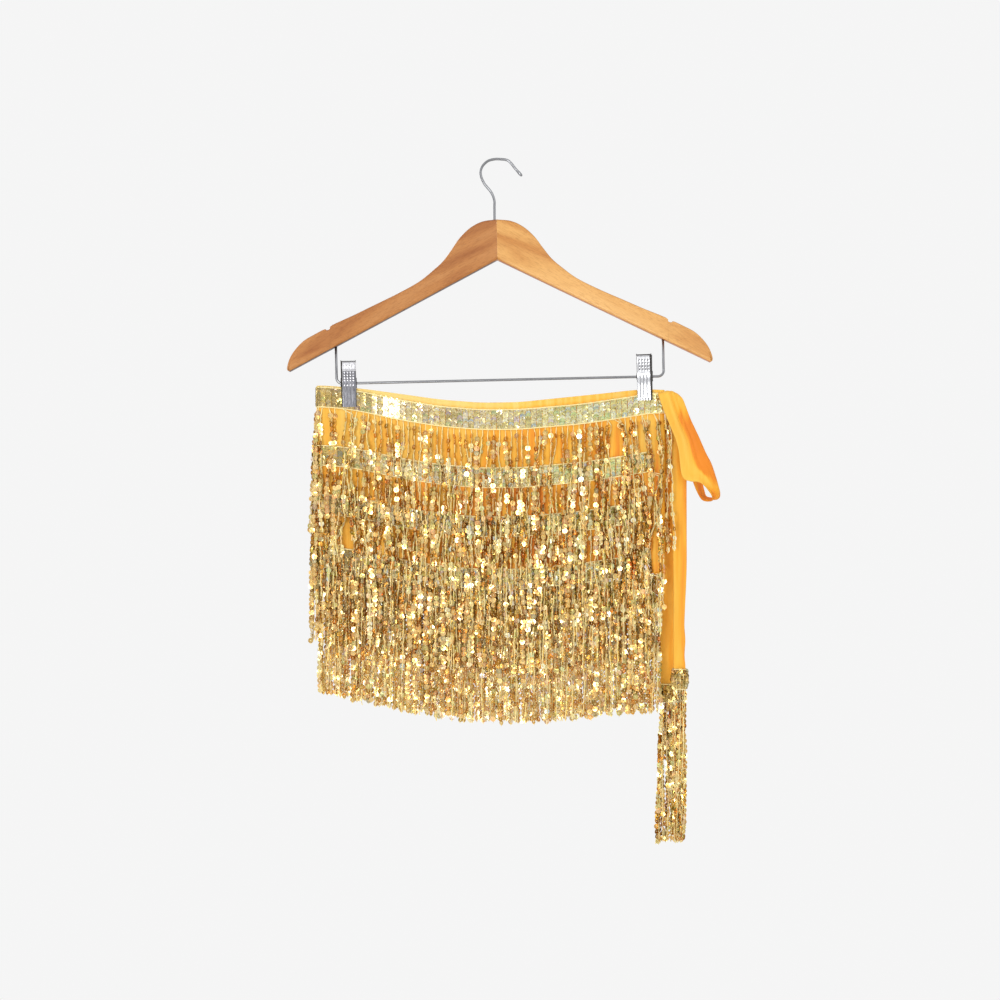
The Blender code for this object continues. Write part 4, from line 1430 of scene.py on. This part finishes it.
def make_hanger():
    for label, side in (("left", -1), ("right", 1)):
        # The left wing gets a painted shaded copy of the wood, the right a painted lit copy.
        wood = wood_material("wood_" + label, -side * GRAIN_LEAN, *WOOD_LIT_AND_SHADED_COLOURS[label])
        make_wing(f"wing_{label}_wood", side, wood)
    steel = metal_material("wire_steel", *WIRE_STEEL)
    make_hook(steel)
    make_bar(steel)
    make_clips()


# Scarf's surface, the same as the solids'.


def wave(x):
    """How far the doubled cloth stands behind the bar's plane between the clips."""
    left, right = CLIP_HUNG_X
    share = (x - left) / (right - left)
    return sum(height * np.sin(math.pi * count * share) for count, height in WAVES)


def stiffness(down):
    """1 at the clips, falling to 0 where the cloth hangs freely."""
    return np.clip((LIMP_BY - down) / (LIMP_BY - LIMP_FROM), 0.0, 1.0)


def edge_row(x):
    """Height of the top edge at x and how much of the hem is rolled away there."""
    spots = np.asarray(x, float)[..., None] + EDGE_BLUR * np.linspace(-1, 1, EDGE_BLUR_SPOTS)
    return [looked_up(TOP_EDGE, spots, column).mean(-1) for column in (1, 2)]


def half_gap(x, down):
    """Half the gap between the panels: wider at the fold, narrow where the clips pinch."""
    opened = HALF_GAP + (FOLD_GAP - HALF_GAP) * smooth_step(FOLD_X + FOLD_OPENING, FOLD_X, x)
    near, far = PINCH_REACH
    pinch = sum(smooth_step(far, near, np.abs(x - clip)) for clip in CLIP_HUNG_X)
    return opened - (opened - PINCHED_GAP) * pinch * stiffness(down)


def on_scarf(x, angle, down, out):
    """Points this far down and out from the cloth; angle turns from front to back."""
    height, rolled = edge_row(x)
    reach = half_gap(x, down) + out
    middle = BAR_Y + wave(x) * (1 - (1 - WAVE_AT_CLIPS) * stiffness(down))
    y = middle - np.cos(angle) * reach
    z = height + rolled - down
    return np.stack(np.broadcast_arrays(x - np.sin(angle) * reach, y, z), -1)


def in_fold(angle):
    """Whether the cloth is turning round the fold at this angle."""
    return (angle > FLAT_ANGLE) & (angle < math.pi - FLAT_ANGLE)


def side_of(angle):
    """1 in front and -1 behind."""
    return np.where(angle < QUARTER_TURN, 1, -1)


def along_scarf(x, angle, down, out):
    """Unit direction along the cloth, from the front panel's end to the back panel's."""
    step = np.where(in_fold(angle), 0.0, -np.cos(angle))
    ahead = on_scarf(x + step, angle, down, out)
    behind = on_scarf(x - step, angle, down, out)
    turn = np.stack(np.broadcast_arrays(-np.cos(angle), np.sin(angle), np.zeros_like(x + down)), -1)
    flat = unit(ahead - behind)
    return np.where(in_fold(angle)[..., None], turn, flat)


def layers_out(tier, down):
    """How many layers of lower trims lie under a strand of this tier here."""
    starts = [BAND_FEET[tier], *BAND_TOPS[tier + 1:]]
    return np.interp(down, starts, range(len(starts)))


def cells(tier):
    """Middle x and angle of each cell of a trim, round the fold. The first trim has a few
    more, past the border."""
    extra = FIRST_BAND_EXTRA if tier == 0 else 0
    flat_x = BORDER_X - CELL * (np.arange(-extra, FRONT_CELLS) + 0.5)
    fold_angle = math.pi * (np.arange(FOLD_CELLS) + 0.5) / FOLD_CELLS
    back_x = flat_x[::-1] + BACK_CELL_SHIFT * CELL
    x = np.concatenate([flat_x, np.full(FOLD_CELLS, FOLD_X), back_x])
    angle = np.concatenate([np.zeros(len(flat_x)), fold_angle, np.full(len(flat_x), math.pi)])
    return x, angle


# Base panel.


def panel_creases(x, down, side):
    """Height of the long soft creases of one side, which run down the cloth."""
    height = 0.0
    for number, (place, first, last, half, lift) in enumerate(PANEL_CREASES):
        behind = BACK_CREASE_SHIFT - place + BACK_CREASE_STEP * (number % 3)
        fade = window((first, first + CREASE_EASES[0]), (last, last - CREASE_EASES[1]), down)
        height = height + lift * fade * bell(x - (place if side > 0 else behind), half)
    return height


def puckers(x, down):
    """Small gathers beside the stitched edges of each trim."""
    height = 0.0
    for edge in sorted((*BAND_TOPS, *BAND_FEET)):
        waves = np.sin(math.tau * x / CELL + PUCKER_SHIFT * edge)
        height = height + PUCKER * bell(down - edge, PUCKER_REACH) * waves
    return height


def panel_columns():
    """Place and angle of the panel's columns, from the front's end round to the back's."""
    flat_x = np.linspace(END_X, FOLD_X, int((END_X - FOLD_X) / PANEL_STEP))
    turn = np.linspace(0.0, math.pi, FOLD_COLUMNS + 1)[1:-1]
    x = np.concatenate([flat_x, np.full(len(turn), FOLD_X), flat_x[::-1]])
    return x, np.concatenate([np.zeros(len(flat_x)), turn, np.full(len(flat_x), math.pi)])


def panel_rows(rolled):
    """How far down the panel's rows are, and half the cloth's thickness at each."""
    bead = np.array(HEM_BEAD)
    share = np.linspace(0.0, 1.0, PANEL_ROWS)[1:, None]
    start = rolled + bead[-1, 0]
    down = np.vstack([rolled + bead[:, :1], start + (HEM - start) * share])
    return down, np.concatenate([bead[:, 1], np.full(len(share), CLOTH / 2)])[:, None]


def panel_density_light_and_shade(x, below_edge):
    """How dense the panel looks where the hem, the trims and the tied end lie over it, with painted shade
    under the trims and painted light near the tied end.
    """
    dense = BELOW_HEM_DENSE * smooth_step(*BELOW_HEM, below_edge)
    dense = dense + PANEL_DENSE + END_DENSE * smooth_step(*TOWARDS_END, x)
    # Painted shade under the trims, and painted light near the tied end.
    dense = dense + UNDER_TRIMS_PAINTED_SHADE * smooth_step(*UNDER_TRIMS, below_edge)
    painted_end_light = END_PAINTED_LIGHT * smooth_step(*END_PAINTED_LIGHT_FROM, x)
    return dense - painted_end_light * smooth_step(*END_PAINTED_LIGHT_BELOW, below_edge)


def make_base_panel(material):
    """The chiffon rectangle, one thin wall that turns round the fold, with a beaded hem."""
    x, angle = panel_columns()
    rolled = edge_row(x)[1]
    down, half = panel_rows(rolled)
    creases = np.where(angle == 0, panel_creases(x, down, 1), panel_creases(x, down, -1))
    lift = np.where(in_fold(angle), 0.0, creases) + puckers(x, down)
    outer = on_scarf(x, angle, down, half + lift)
    inner = on_scarf(x, angle, down, lift - half)
    dense = panel_density_light_and_shade(x, down - rolled)
    panel = cloth_object("base_panel_chiffon", outer, inner, material, dense)
    return place_piece(panel, "orange_chiffon", "base_panel")


# Sequins.


def disc_mesh(centres, across, below, radius):
    """Cupped rings at the centres, each in the plane of its two directions."""
    angles = math.tau * np.arange(SEQUIN_SIDES) / SEQUIN_SIDES
    facing = np.cross(across, below)
    rings = []
    for reach, lift in ((radius, 0.0), (SEQUIN_HOLE, SEQUIN_CUP)):
        ring = np.cos(angles)[:, None] * across[:, None] + np.sin(angles)[:, None] * below[:, None]
        rings.append(centres[:, None] + reach * ring - lift * facing[:, None])
    points = np.stack(rings, 1)
    index = np.arange(2 * SEQUIN_SIDES).reshape(2, SEQUIN_SIDES)
    one = quads(index, closed=True)
    starts = np.arange(len(centres)) * 2 * SEQUIN_SIDES
    faces = (one[None] + starts[:, None, None]).reshape(-1, 4)
    return points.reshape(-1, 3), faces.tolist()


def tint_sequins(obj, weight_column, tones, rng):
    """Gives each sequin one of the foil's tints, times red, green and blue shares."""
    table = np.array([linear(*row[:3]) for row in FOIL_TINTS])
    weights = np.array([row[weight_column] for row in FOIL_TINTS], float)
    tones = tones.reshape(-1, 3)
    colours = table[rng.choice(len(table), len(tones), p=weights / weights.sum())]
    colours[:, :3] *= tones * rng.uniform(*TINT_SPREAD, len(tones))[:, None]
    spread = np.repeat(colours, 2 * SEQUIN_SIDES, axis=0)
    attribute = obj.data.attributes.new("tint", "FLOAT_COLOR", "POINT")
    attribute.data.foreach_set("color", spread.ravel())


def face_and_shade_tones(across, below, outwards):
    """Full colour where a sequin's bright face looks outwards, its dull back's otherwise, which also
    holds painted shade.
    """
    bright = (np.cross(across, below) * outwards).sum(-1)[..., None] > 0
    return np.where(bright, 1.0, DULL_BACK_AND_SHADE_TONE)


def make_sequins(name, places, tones, radius, weight_column, foil, rng):
    """A mesh of sequins at places: their centres, and directions across and down them."""
    centres, across, below = [table.reshape(-1, 3) for table in places]
    sequins = new_object(name, *disc_mesh(centres, across, below, radius), foil)
    tint_sequins(sequins, weight_column, tones, rng)
    return sequins


def turned_about(vectors, axis, angle):
    """Vectors turned about unit axes at right angles to them."""
    angle = np.asarray(angle)[..., None]
    return vectors * np.cos(angle) + np.cross(axis, vectors) * np.sin(angle)


def parted(x, z, tier, side, ease):
    """Sideways places of strands after they make room, each with its own ease, for the
    partings, and close again slowly below them."""
    for where, px, pz, half, tall, deepest in PARTINGS:
        if tier >= deepest:
            continue
        top, foot = pz + tall, pz - tall
        opened = half * window((top + PARTING_RISE, top), (foot - PARTING_FALL, foot), z)
        away = x - px
        pushed = px + np.sign(away.mean(1, keepdims=True)) * np.sqrt(away ** 2 + (ease * opened) ** 2)
        x = np.where((side == where) & (np.abs(away) < PARTING_REACH * half), pushed, x)
    return x


def gathered(x, fallen, rng):
    """How far neighbouring strands draw together, more the further they fall."""
    drawn = 0.0
    for length, reach, drift in GATHERS:
        start = rng.uniform(0.0, math.tau)
        drawn = drawn + reach * np.sin(math.tau * (x / length + drift * fallen) + start)
    return drawn * smooth_step(0.0, GATHERED_BY, fallen)


def strand_twists(side, flat_share, rng):
    """Turn of each sequin about its thread: mostly edge on in front, flat behind."""
    count = len(side)
    lies_flat = (side < 0) | (rng.random((count, 1)) < flat_share)
    over = rng.random((count, 1)) < np.where(side > 0, *TURNED_OVER)
    flat = math.pi * over + TURN_BACK * (side < 0)
    settled = np.where(lies_flat, flat, QUARTER_TURN * rng.choice((-1.0, 1.0), (count, 1)))
    spread = np.where(side > 0, TWIST_FRONT, TWIST_BACK)
    twist = np.zeros((count, STRAND_SEQUINS))
    twist[:, :1] = rng.normal(0.0, 1.0, (count, 1)) * spread
    keep = math.sqrt(1 - TWIST_KEPT ** 2)
    for k in range(1, STRAND_SEQUINS):
        fresh = rng.normal(0.0, 1.0, (count, 1)) * spread
        twist[:, k:k + 1] = TWIST_KEPT * twist[:, k - 1:k] + keep * fresh
    return settled + twist


def strand_cells(tier):
    """Each strand's cell number, place along the cloth and angle. Beyond the place where they
    hang closer, and on the back of the last trim, further strands hang between the cells'."""
    x, angle = cells(tier)
    closer = np.flatnonzero((x > CLOSER_FROM) & (angle == 0))[::2]
    if tier == LAST_TIER:
        closer = np.append(closer, np.flatnonzero(angle == math.pi))
    number = np.concatenate([np.arange(len(x)), closer])
    between = np.arange(len(number)) >= len(x)
    return number, (x[number] + 0.5 * CELL * between)[:, None], angle[number][:, None]


def catch_light(x, twist, rng):
    """Turns short runs of the front's sequins square to the light: twists and nods."""
    starts = rng.random(twist.shape) < CAUGHT_SHARE
    caught = starts.copy()
    for step in range(1, CAUGHT_RUN):
        more = np.roll(starts, step, axis=1) & (rng.random(twist.shape) < CAUGHT_RUN_SHARE)
        caught[:, step:] |= more[:, step:]
    lean = np.radians(looked_up(CAUGHT_LEANS, x) + rng.normal(0.0, CAUGHT_LEAN_SPREAD, twist.shape))
    nod = rng.normal(0.0, NOD_SPREAD, twist.shape)
    return np.where(caught, lean, twist), np.where(caught, CAUGHT_NOD + CAUGHT_NOD_SHARE * nod, nod)


def strand_falls(tier, x, rng):
    """How far below its band each of a strand's sequins hangs."""
    length = STRAND_LENGTH + LENGTH_SPREAD * rng.uniform(-0.5, 0.5, x.shape)
    length = length - looked_up(SHORTER, x)
    first = rng.uniform(*FIRST_SEQUIN[min(tier, 1)], x.shape)
    share = np.arange(STRAND_SEQUINS) / (STRAND_SEQUINS - 1)
    jitter = rng.uniform(-0.5, 0.5, (len(x), STRAND_SEQUINS))
    return first + (length - SEQUIN_RADIUS - first) * share + jitter


def strand_slants(tier, x, angle, rng):
    """How far aside each strand's end hangs."""
    slant = rng.normal(0.0, SLANT_SHARE * SLANT_SPREAD, x.shape)
    stray = rng.random(x.shape) < STRAY_SHARES[tier]
    slant = np.where(stray, slant * STRAY_SLANT, slant)
    if tier == LAST_TIER:
        slant = np.where(side_of(angle) > 0, slant, LAST_BEHIND_SLANT * slant)
    for swung_tier, swung_x, reach in SWUNG:
        if swung_tier == tier:
            slant[np.argmin(np.where(angle == 0, np.abs(x - swung_x), math.inf))] = reach
    return slant


def slow_bends(table, fallen, rng):
    """How far strands bend aside, for each row of length and reach."""
    starts = rng.uniform(0.0, math.tau, (len(fallen), len(table)))
    return [
        reach * np.sin(fallen / length + starts[:, number, None])
        for number, (length, reach) in enumerate(table)]


def strand_sways(slant, fallen, rng):
    """How far aside each sequin hangs, from its strand's slant and slow bends."""
    bend = sum(slow_bends(STRAND_BENDS, fallen, rng))
    return slant * fallen / STRAND_LENGTH + bend * smooth_step(0.0, BENT_BY, fallen)


def strand_turns(tier, x, angle, rng):
    """Twist of each sequin about its thread and its nod, some of them catching the light."""
    twist = strand_twists(side_of(angle), FLAT_SHARES[tier], rng)
    nod = rng.normal(0.0, NOD_SPREAD, twist.shape)
    caught_twist, caught_nod = catch_light(x, twist, rng)
    return np.where(angle == 0, caught_twist, twist), np.where(angle == 0, caught_nod, nod)


def strand_levels(tier, fallen, twist, angle, rng):
    """How far out from the cloth each sequin hangs, clear of what lies under it."""
    level = STRAND_INSIDE + LAYER_STEP * layers_out(tier, BAND_FEET[tier] + fallen)
    level = level + rng.uniform(0.0, LEVEL_SPREAD, angle.shape)
    edge = SEQUIN_RADIUS * np.abs(np.sin(twist))
    level = np.maximum(level, CLOTH / 2 + SEQUIN_CLEARANCE + edge)
    return level + np.where(in_fold(angle), FOLD_FLARES[tier] * fallen / STRAND_LENGTH, 0.0)


def strand_columns(tier, x, angle, fallen, aside, rng):
    """Place along the cloth of each sequin, as neighbouring strands gather and part."""
    side = side_of(angle)
    drawn = GATHER_SHARES[tier] * gathered(x + GATHER_OFFSET * (side < 0), fallen, rng)
    spread = END_SPREADS[tier] * smooth_step(*END_SPREAD_REACH, x)
    spread = spread * smooth_step(0.0, SPREAD_BY, fallen)
    moved = x + np.where(in_fold(angle), 0.0, drawn + aside + spread)
    height, rolled = edge_row(moved)
    z = height + rolled - (BAND_FEET[tier] + fallen)
    ease = rng.uniform(*PARTING_EASE, x.shape)
    return np.where(in_fold(angle), moved, parted(moved, z, tier, side, ease))


def strand_places(tier, rng):
    """Each strand's sequins: centres, directions across and down them, as (strand, sequin, 3),
    and their tones."""
    _, x, angle = strand_cells(tier)
    fallen = strand_falls(tier, x, rng)
    aside = strand_sways(strand_slants(tier, x, angle, rng), fallen, rng)
    twist, nod = strand_turns(tier, x, angle, rng)
    level = strand_levels(tier, fallen, twist, angle, rng)
    moved = strand_columns(tier, x, angle, fallen, aside, rng)
    angle = np.broadcast_to(angle, moved.shape)
    down = BAND_FEET[tier] + fallen
    tangent = along_scarf(moved, angle, down, level)
    centres = on_scarf(moved, angle, down, level)
    centres = centres + tangent * np.where(in_fold(angle), aside, 0.0)[..., None]
    outwards = np.cross(DOWNWARDS, tangent)
    across = unit(np.cos(twist)[..., None] * tangent + np.sin(twist)[..., None] * outwards)
    run = unit(np.gradient(centres, axis=1))
    below = unit(run - across * (run * across).sum(-1, keepdims=True))
    below = turned_about(below, across, nod)
    return (centres, across, below), face_and_shade_tones(across, below, outwards)


def band_roots(centres, across, below):
    """Paths of the threads down each column of a band or cuff."""
    return centres + STITCH_REACH * SEQUIN_RADIUS * below - ROOT_LIFT * np.cross(across, below)


def strand_threads(roots, centres, across, below):
    """Paths of the threads, which hold each sequin on one face."""
    facing = np.cross(across, below)
    upper = centres - STITCH_REACH * SEQUIN_RADIUS * below - THREAD_LIFT * facing
    lower = centres + STITCH_REACH * SEQUIN_RADIUS * below - THREAD_LIFT * facing
    steps = np.stack([upper, lower], 2).reshape(len(centres), -1, 3)
    end = centres[:, -1:] + THREAD_END_REACH * SEQUIN_RADIUS * below[:, -1:]
    return np.concatenate([roots, steps, end], 1)


def fringe_threads(roots, strands, edges, edge_radius):
    """Threads that swell with the chain stitches, down the columns and strands, and the plain
    threads along both edges of the band."""
    paths = strand_threads(roots, *strands)
    shares = np.resize(STITCH_SHARES, paths.shape[1])
    radii = np.broadcast_to(THREAD_RADIUS * shares, paths.shape[:2])
    parts = [tubes(paths, radii, THREAD_SIDES, ends=False)]
    parts += [tubes([edge], edge_radius, EDGE_THREAD_SIDES) for edge in edges]
    return joined(parts)


def band_leans(tier, x, rng):
    """Sideways leans of a band's sequins, some of them standing out of line."""
    lean = looked_up(BAND_LEANS, x) if tier == 0 else LOWER_BAND_LEAN
    uneven = looked_up(BAND_LEANS, x, 2) if tier == 0 else 1.0
    own = rng.normal(0.0, COLUMN_LEAN, (len(x), 1)) + rng.normal(0.0, SEQUIN_LEAN, x.shape)
    flash = np.radians(looked_up(CAUGHT_LEANS, x))
    return np.where(rng.random(x.shape) < BAND_CAUGHT_SHARE, flash, np.radians(lean) + uneven * own)


def band_light_and_tones(x, rng):
    """Red, green and blue tones of a band's sequins, painted light and shade along the band, which differ
    from column to column.
    """
    tones = np.stack([looked_up(BAND_LIGHT_AND_TONES, x, column) for column in (1, 2, 3)], -1)
    uneven = looked_up(BAND_LIGHT_AND_TONES, x, 4) * rng.uniform(-1.0, 1.0, x.shape)
    return tones * (1 + uneven)[..., None]


def band_places(tier, rng):
    """The band's shingled sequins: centres and directions, as (column, row, 3), and tones."""
    x, angle = cells(tier)
    x, angle = np.broadcast_arrays(x[:, None], angle[:, None])
    count = len(x)
    rows = np.linspace(BAND_MARGIN, BAND_HEIGHT - BAND_MARGIN, BAND_ROWS)
    down = BAND_TOPS[tier] + rows + rng.uniform(-BAND_JITTER, BAND_JITTER, (count, BAND_ROWS))
    x = x + rng.uniform(-BAND_JITTER, BAND_JITTER, down.shape) * ~in_fold(angle)
    out = BAND_INSIDE + BAND_LIFT + COLUMN_STEP * (np.arange(count) % 2)[:, None]
    angle = np.broadcast_to(angle, down.shape)
    centres = on_scarf(x, angle, down, out)
    tangent = along_scarf(x, angle, down, out)
    lean = band_leans(tier, x, rng)
    own_lean = np.arctan2(tangent[..., 1], -tangent[..., 0])
    lean = np.where(angle == 0, lean - own_lean, BACK_LEAN_SHARE * lean)
    below = np.broadcast_to(DOWNWARDS, tangent.shape)
    across = turned_about(tangent, below, lean)
    below = turned_about(below, across, -BAND_SHINGLE + rng.normal(0.0, SEQUIN_LEAN, down.shape))
    tones = band_light_and_tones(x[:, :1], rng)
    return (centres, across, below), np.broadcast_to(tones, centres.shape)


def make_fringe(name, label, band, strands, threads, materials, rng):
    """The pieces of a trim or tassel: the band's sequins, the strands' and the threads."""
    band_foil, fringe_foil, thread = materials
    pieces = (
        make_sequins(f"{name}_{label}", *band, band_foil, rng),
        make_sequins(name + "_strands", *strands, fringe_foil, rng),
        new_object(name + "_threads", *threads, thread),
    )
    return [place_piece(piece, "gold_sequin_trim", name) for piece in pieces]


def make_trim(tier, materials):
    """A fringe trim round the fold."""
    rng = np.random.default_rng(TRIM_SEED + tier)
    band, band_light_and_tone = band_places(tier, rng)
    strands, strand_tone = strand_places(tier, rng)
    x, angle = cells(tier)
    top_inset, foot_inset = EDGE_THREAD_INSETS
    edges = [
        on_scarf(x, angle, BAND_TOPS[tier] + down, BAND_INSIDE + EDGE_THREAD_OUT)
        for down in (top_inset, BAND_HEIGHT - foot_inset)]
    roots = band_roots(*band)[strand_cells(tier)[0]]
    threads = fringe_threads(roots, strands, edges, EDGE_THREAD_RADIUS)
    band = (band, band_light_and_tone, BAND_SEQUIN_RADIUS, BAND_WEIGHTS)
    strands = (strands, strand_tone, SEQUIN_RADIUS, STRAND_WEIGHTS)
    return make_fringe(f"trim_{tier + 1}", "band", band, strands, threads, materials, rng)


# Ties.


def make_knot(material):
    """The wrap of the knot: a thin shell with creases that run slantwise round it."""
    first, last = KNOT_POLAR
    polar = np.linspace(first * math.pi, last * math.pi, KNOT_ROWS)[:, None]
    angle = np.linspace(0.0, math.tau, KNOT_COLUMNS)[None, :]
    size = KNOT_SIZE + sum(
        depth * np.cos(count * angle + slant * polar + start)
        for count, slant, start, depth in KNOT_CREASES)
    spots = np.stack(np.broadcast_arrays(
        np.cos(angle) * np.sin(polar), np.sin(angle) * np.sin(polar), np.cos(polar)), -1)
    grid = np.array(KNOT_CENTRE) + np.array(KNOT_RADII) * size[..., None] * spots
    knot = cloth_object("tie_knot_wrap", *wall(grid, KNOT_CLOTH), material, KNOT_DENSE)
    return place_piece(knot, "orange_chiffon", "tie_knot")


def loop_density_and_shade(along, share, height):
    """How dense the loop's strip looks, with painted shade on its right side, behind and in the creases'
    troughs, and painted light on their ridges.
    """
    dark = smooth_step(*LOOP_SHADED_SIDE, share) * window(LOOP_SHADED_FROM, LOOP_SHADED_TO, along)
    dense = LOOP_DENSE + LOOP_SHADE_ACROSS * share + LOOP_PAINTED_SHADE * dark
    dense = dense + LOOP_SHADE_BEHIND * smooth_step(*LOOP_BEHIND, along)
    return dense + CREASE_LIGHT_AND_SHADE * np.clip(-height, -1.0, 1.5)


def make_loop(material):
    """A broad strip over the knot, down, round its turned end and back up behind."""
    rows = spline(LOOP, LOOP_STEPS)
    share = np.linspace(0.0, 1.0, LOOP_COLUMNS)[None, :]
    left, right = rows[:, None, :3], rows[:, None, 3:]
    grid = left + (right - left) * share[..., None]
    lift = looked_up(spline(LOOP_ACROSS, LOOP_ACROSS_STEPS), share)
    along = np.linspace(0.0, 1.0, len(rows))[:, None]
    height = lift * np.sin(math.pi * along) + creased(along, share, LOOP_CREASES)
    grid = grid + grid_normals(grid) * height[..., None]
    rounds = np.where(share < 0.5, *LOOP_ROUNDS)
    grid[..., 2] -= rounds * (2 * share - 1) ** 2 * smooth_step(*LOOP_ROUND_REACH, along)
    dense = loop_density_and_shade(along, share, height)
    loop = cloth_object("tie_loop_strip", *wall(grid, LOOP_CLOTH), material, dense)
    return place_piece(loop, "orange_chiffon", "tie_loop")


def make_tail(name, table, creases, dense, material):
    """A hanging tie end, folded along its length so that its section is a flat J."""
    rows = spline(table, TAIL_STEPS)
    section = spline(TAIL_SECTION, TAIL_SECTION_STEPS)
    half = (rows[:, 3:] - TAIL_CLOTH) / 2
    across = rows[:, 1:2] + half * section[None, :, 0]
    depth = rows[:, 2:3] + TAIL_LEG * section[None, :, 1]
    height = np.broadcast_to(rows[:, :1], across.shape)
    grid = np.stack([across, depth, height], -1)
    fallen = rows[0, 0] - rows[:, :1]
    place = np.linspace(0.0, 1.0, len(section))[None, :]
    lift = creased(fallen / CREASE_UNIT, place, creases)
    front = section[None, :, 1] < 0
    grid[..., 1] -= np.where(front, lift, 0.0)
    # Painted shade towards the right of the tail, and painted light and shade on the front's creases.
    dense = dense + TAIL_PAINTED_SHADE * section[None, :, 0] - CREASE_LIGHT_AND_SHADE * np.where(front, 2 * lift, 0.0)
    tail = cloth_object(name + "_strip", *wall(grid, TAIL_CLOTH), material, dense)
    return place_piece(tail, "orange_chiffon", name)


def cuff_ring(x, y, z, extra):
    """A flattened ring's cells with straight sides and round ends, and their outward ways."""
    end = CUFF_DEEP / 2 + extra
    straight = (CUFF_WIDE - CUFF_DEEP) / 2
    angle = math.tau * np.arange(CUFF_CELLS) / CUFF_CELLS
    side = np.clip(CUFF_SIDE_SHARE * np.cos(angle), -1.0, 1.0)
    px = x + straight * side + end * np.cos(angle)
    py = y + end * np.sin(angle)
    outwards = unit(np.stack([CUFF_FACING * np.cos(angle), np.sin(angle), 0 * angle], -1))
    return np.stack([px, py, np.full(CUFF_CELLS, z)], -1), outwards


def cuff_places(row, rng):
    """The sequins of a trim that is rolled round a tie's end: centres and directions."""
    x, y, top, bottom, *_ = row
    heights = np.linspace(top - BAND_MARGIN, bottom + BAND_MARGIN, CUFF_ROWS)
    bulge = CUFF_BULGE * np.sin(np.linspace(0.0, math.pi, CUFF_ROWS))
    rings = [cuff_ring(x, y, z, extra) for z, extra in zip(heights, bulge)]
    centres, outwards = [np.stack(tables, 1) for tables in zip(*rings)]
    across = np.cross(DOWNWARDS, outwards)
    below = turned_about(np.broadcast_to(DOWNWARDS, across.shape), across, BAND_SHINGLE)
    across = turned_about(across, below, rng.normal(0.0, CUFF_LEAN, across.shape[:2]))
    below = turned_about(below, across, rng.normal(0.0, CUFF_LEAN, across.shape[:2]))
    return centres, across, below


def tassel_places(row, rng):
    """The tassel's sequins: centres and directions, and tones."""
    x, y, _, bottom, end, spread = row
    fallen = np.linspace(TASSEL_FIRST, bottom - end - SEQUIN_RADIUS, TASSEL_SEQUINS)[None, :]
    fallen = fallen + rng.uniform(-TASSEL_UNEVEN, TASSEL_UNEVEN, (CUFF_CELLS, 1))
    fallen = fallen + rng.uniform(-TASSEL_JITTER, TASSEL_JITTER, fallen.shape)
    swaying = smooth_step(0.0, SWAYING_BY, fallen)
    sways = [bend * swaying for bend in slow_bends(TASSEL_BENDS, fallen, rng)]
    centre = np.array((x, y, bottom))
    ring = cuff_ring(x, y, bottom, TASSEL_OUT)[0][:, None]
    share = fallen[..., None] / (bottom - end)
    hang = centre + (ring - centre) * (1 + share * (2 * spread / CUFF_WIDE))
    hang = hang + np.stack([*sways, -fallen], -1)
    twist = rng.uniform(-math.pi, math.pi, (CUFF_CELLS, 1))
    twist = twist + rng.normal(0.0, TASSEL_TWIST, fallen.shape).cumsum(axis=1)
    across = np.stack([np.cos(twist), np.sin(twist), 0 * twist], -1)
    below = np.broadcast_to(DOWNWARDS, across.shape)
    below = turned_about(below, across, rng.normal(0.0, TASSEL_NOD, twist.shape))
    outwards = np.broadcast_to(unit(ring - centre), hang.shape)
    return (hang, across, below), face_and_shade_tones(across, below, outwards) * TASSEL_TONE


def make_tassel(name, row, materials):
    """A cuff of the fringe trim rolled round the tie, and its strands."""
    x, y, top, bottom, end, _ = row
    rng = np.random.default_rng(int(abs(end)))
    cuff = cuff_places(row, rng)
    strands, strand_tone = tassel_places(row, rng)
    top_inset, foot_inset = EDGE_THREAD_INSETS
    rings = [cuff_ring(x, y, z, CUFF_THREAD_OUT)[0] for z in (top - top_inset, bottom + foot_inset)]
    edges = [np.vstack([ring, ring[:1]]) for ring in rings]
    threads = fringe_threads(band_roots(*cuff), strands, edges, CUFF_THREAD_RADIUS)
    cuff_tone = np.broadcast_to(np.array(CUFF_TONE), cuff[0].shape)
    band = (cuff, cuff_tone, SEQUIN_RADIUS, STRAND_WEIGHTS)
    strands = (strands, strand_tone, SEQUIN_RADIUS, STRAND_WEIGHTS)
    return make_fringe(name, "cuff", band, strands, threads, materials, rng)


def make_scarf():
    """The doubled panel with its trims, then the tied ends at its top corner."""
    chiffon, tie_chiffon = [chiffon_material(*row) for row in CHIFFONS]
    materials = (*[foil_material(*row) for row in FOILS], thread_material())
    panel = make_base_panel(chiffon)
    trims = [piece for tier in range(len(BAND_TOPS)) for piece in make_trim(tier, materials)]
    knot = make_knot(tie_chiffon)
    loop = make_loop(tie_chiffon)
    tails = {
        side: (make_tail("tie_tail_" + side, table, creases, dense, tie_chiffon), length)
        for side, (table, creases, dense, length) in TAILS.items()}
    for side, (tail, length) in tails.items():
        tassel = make_tassel("tassel_" + side, TASSELS[side], materials)


make_studio()
make_hanger()
make_scarf()
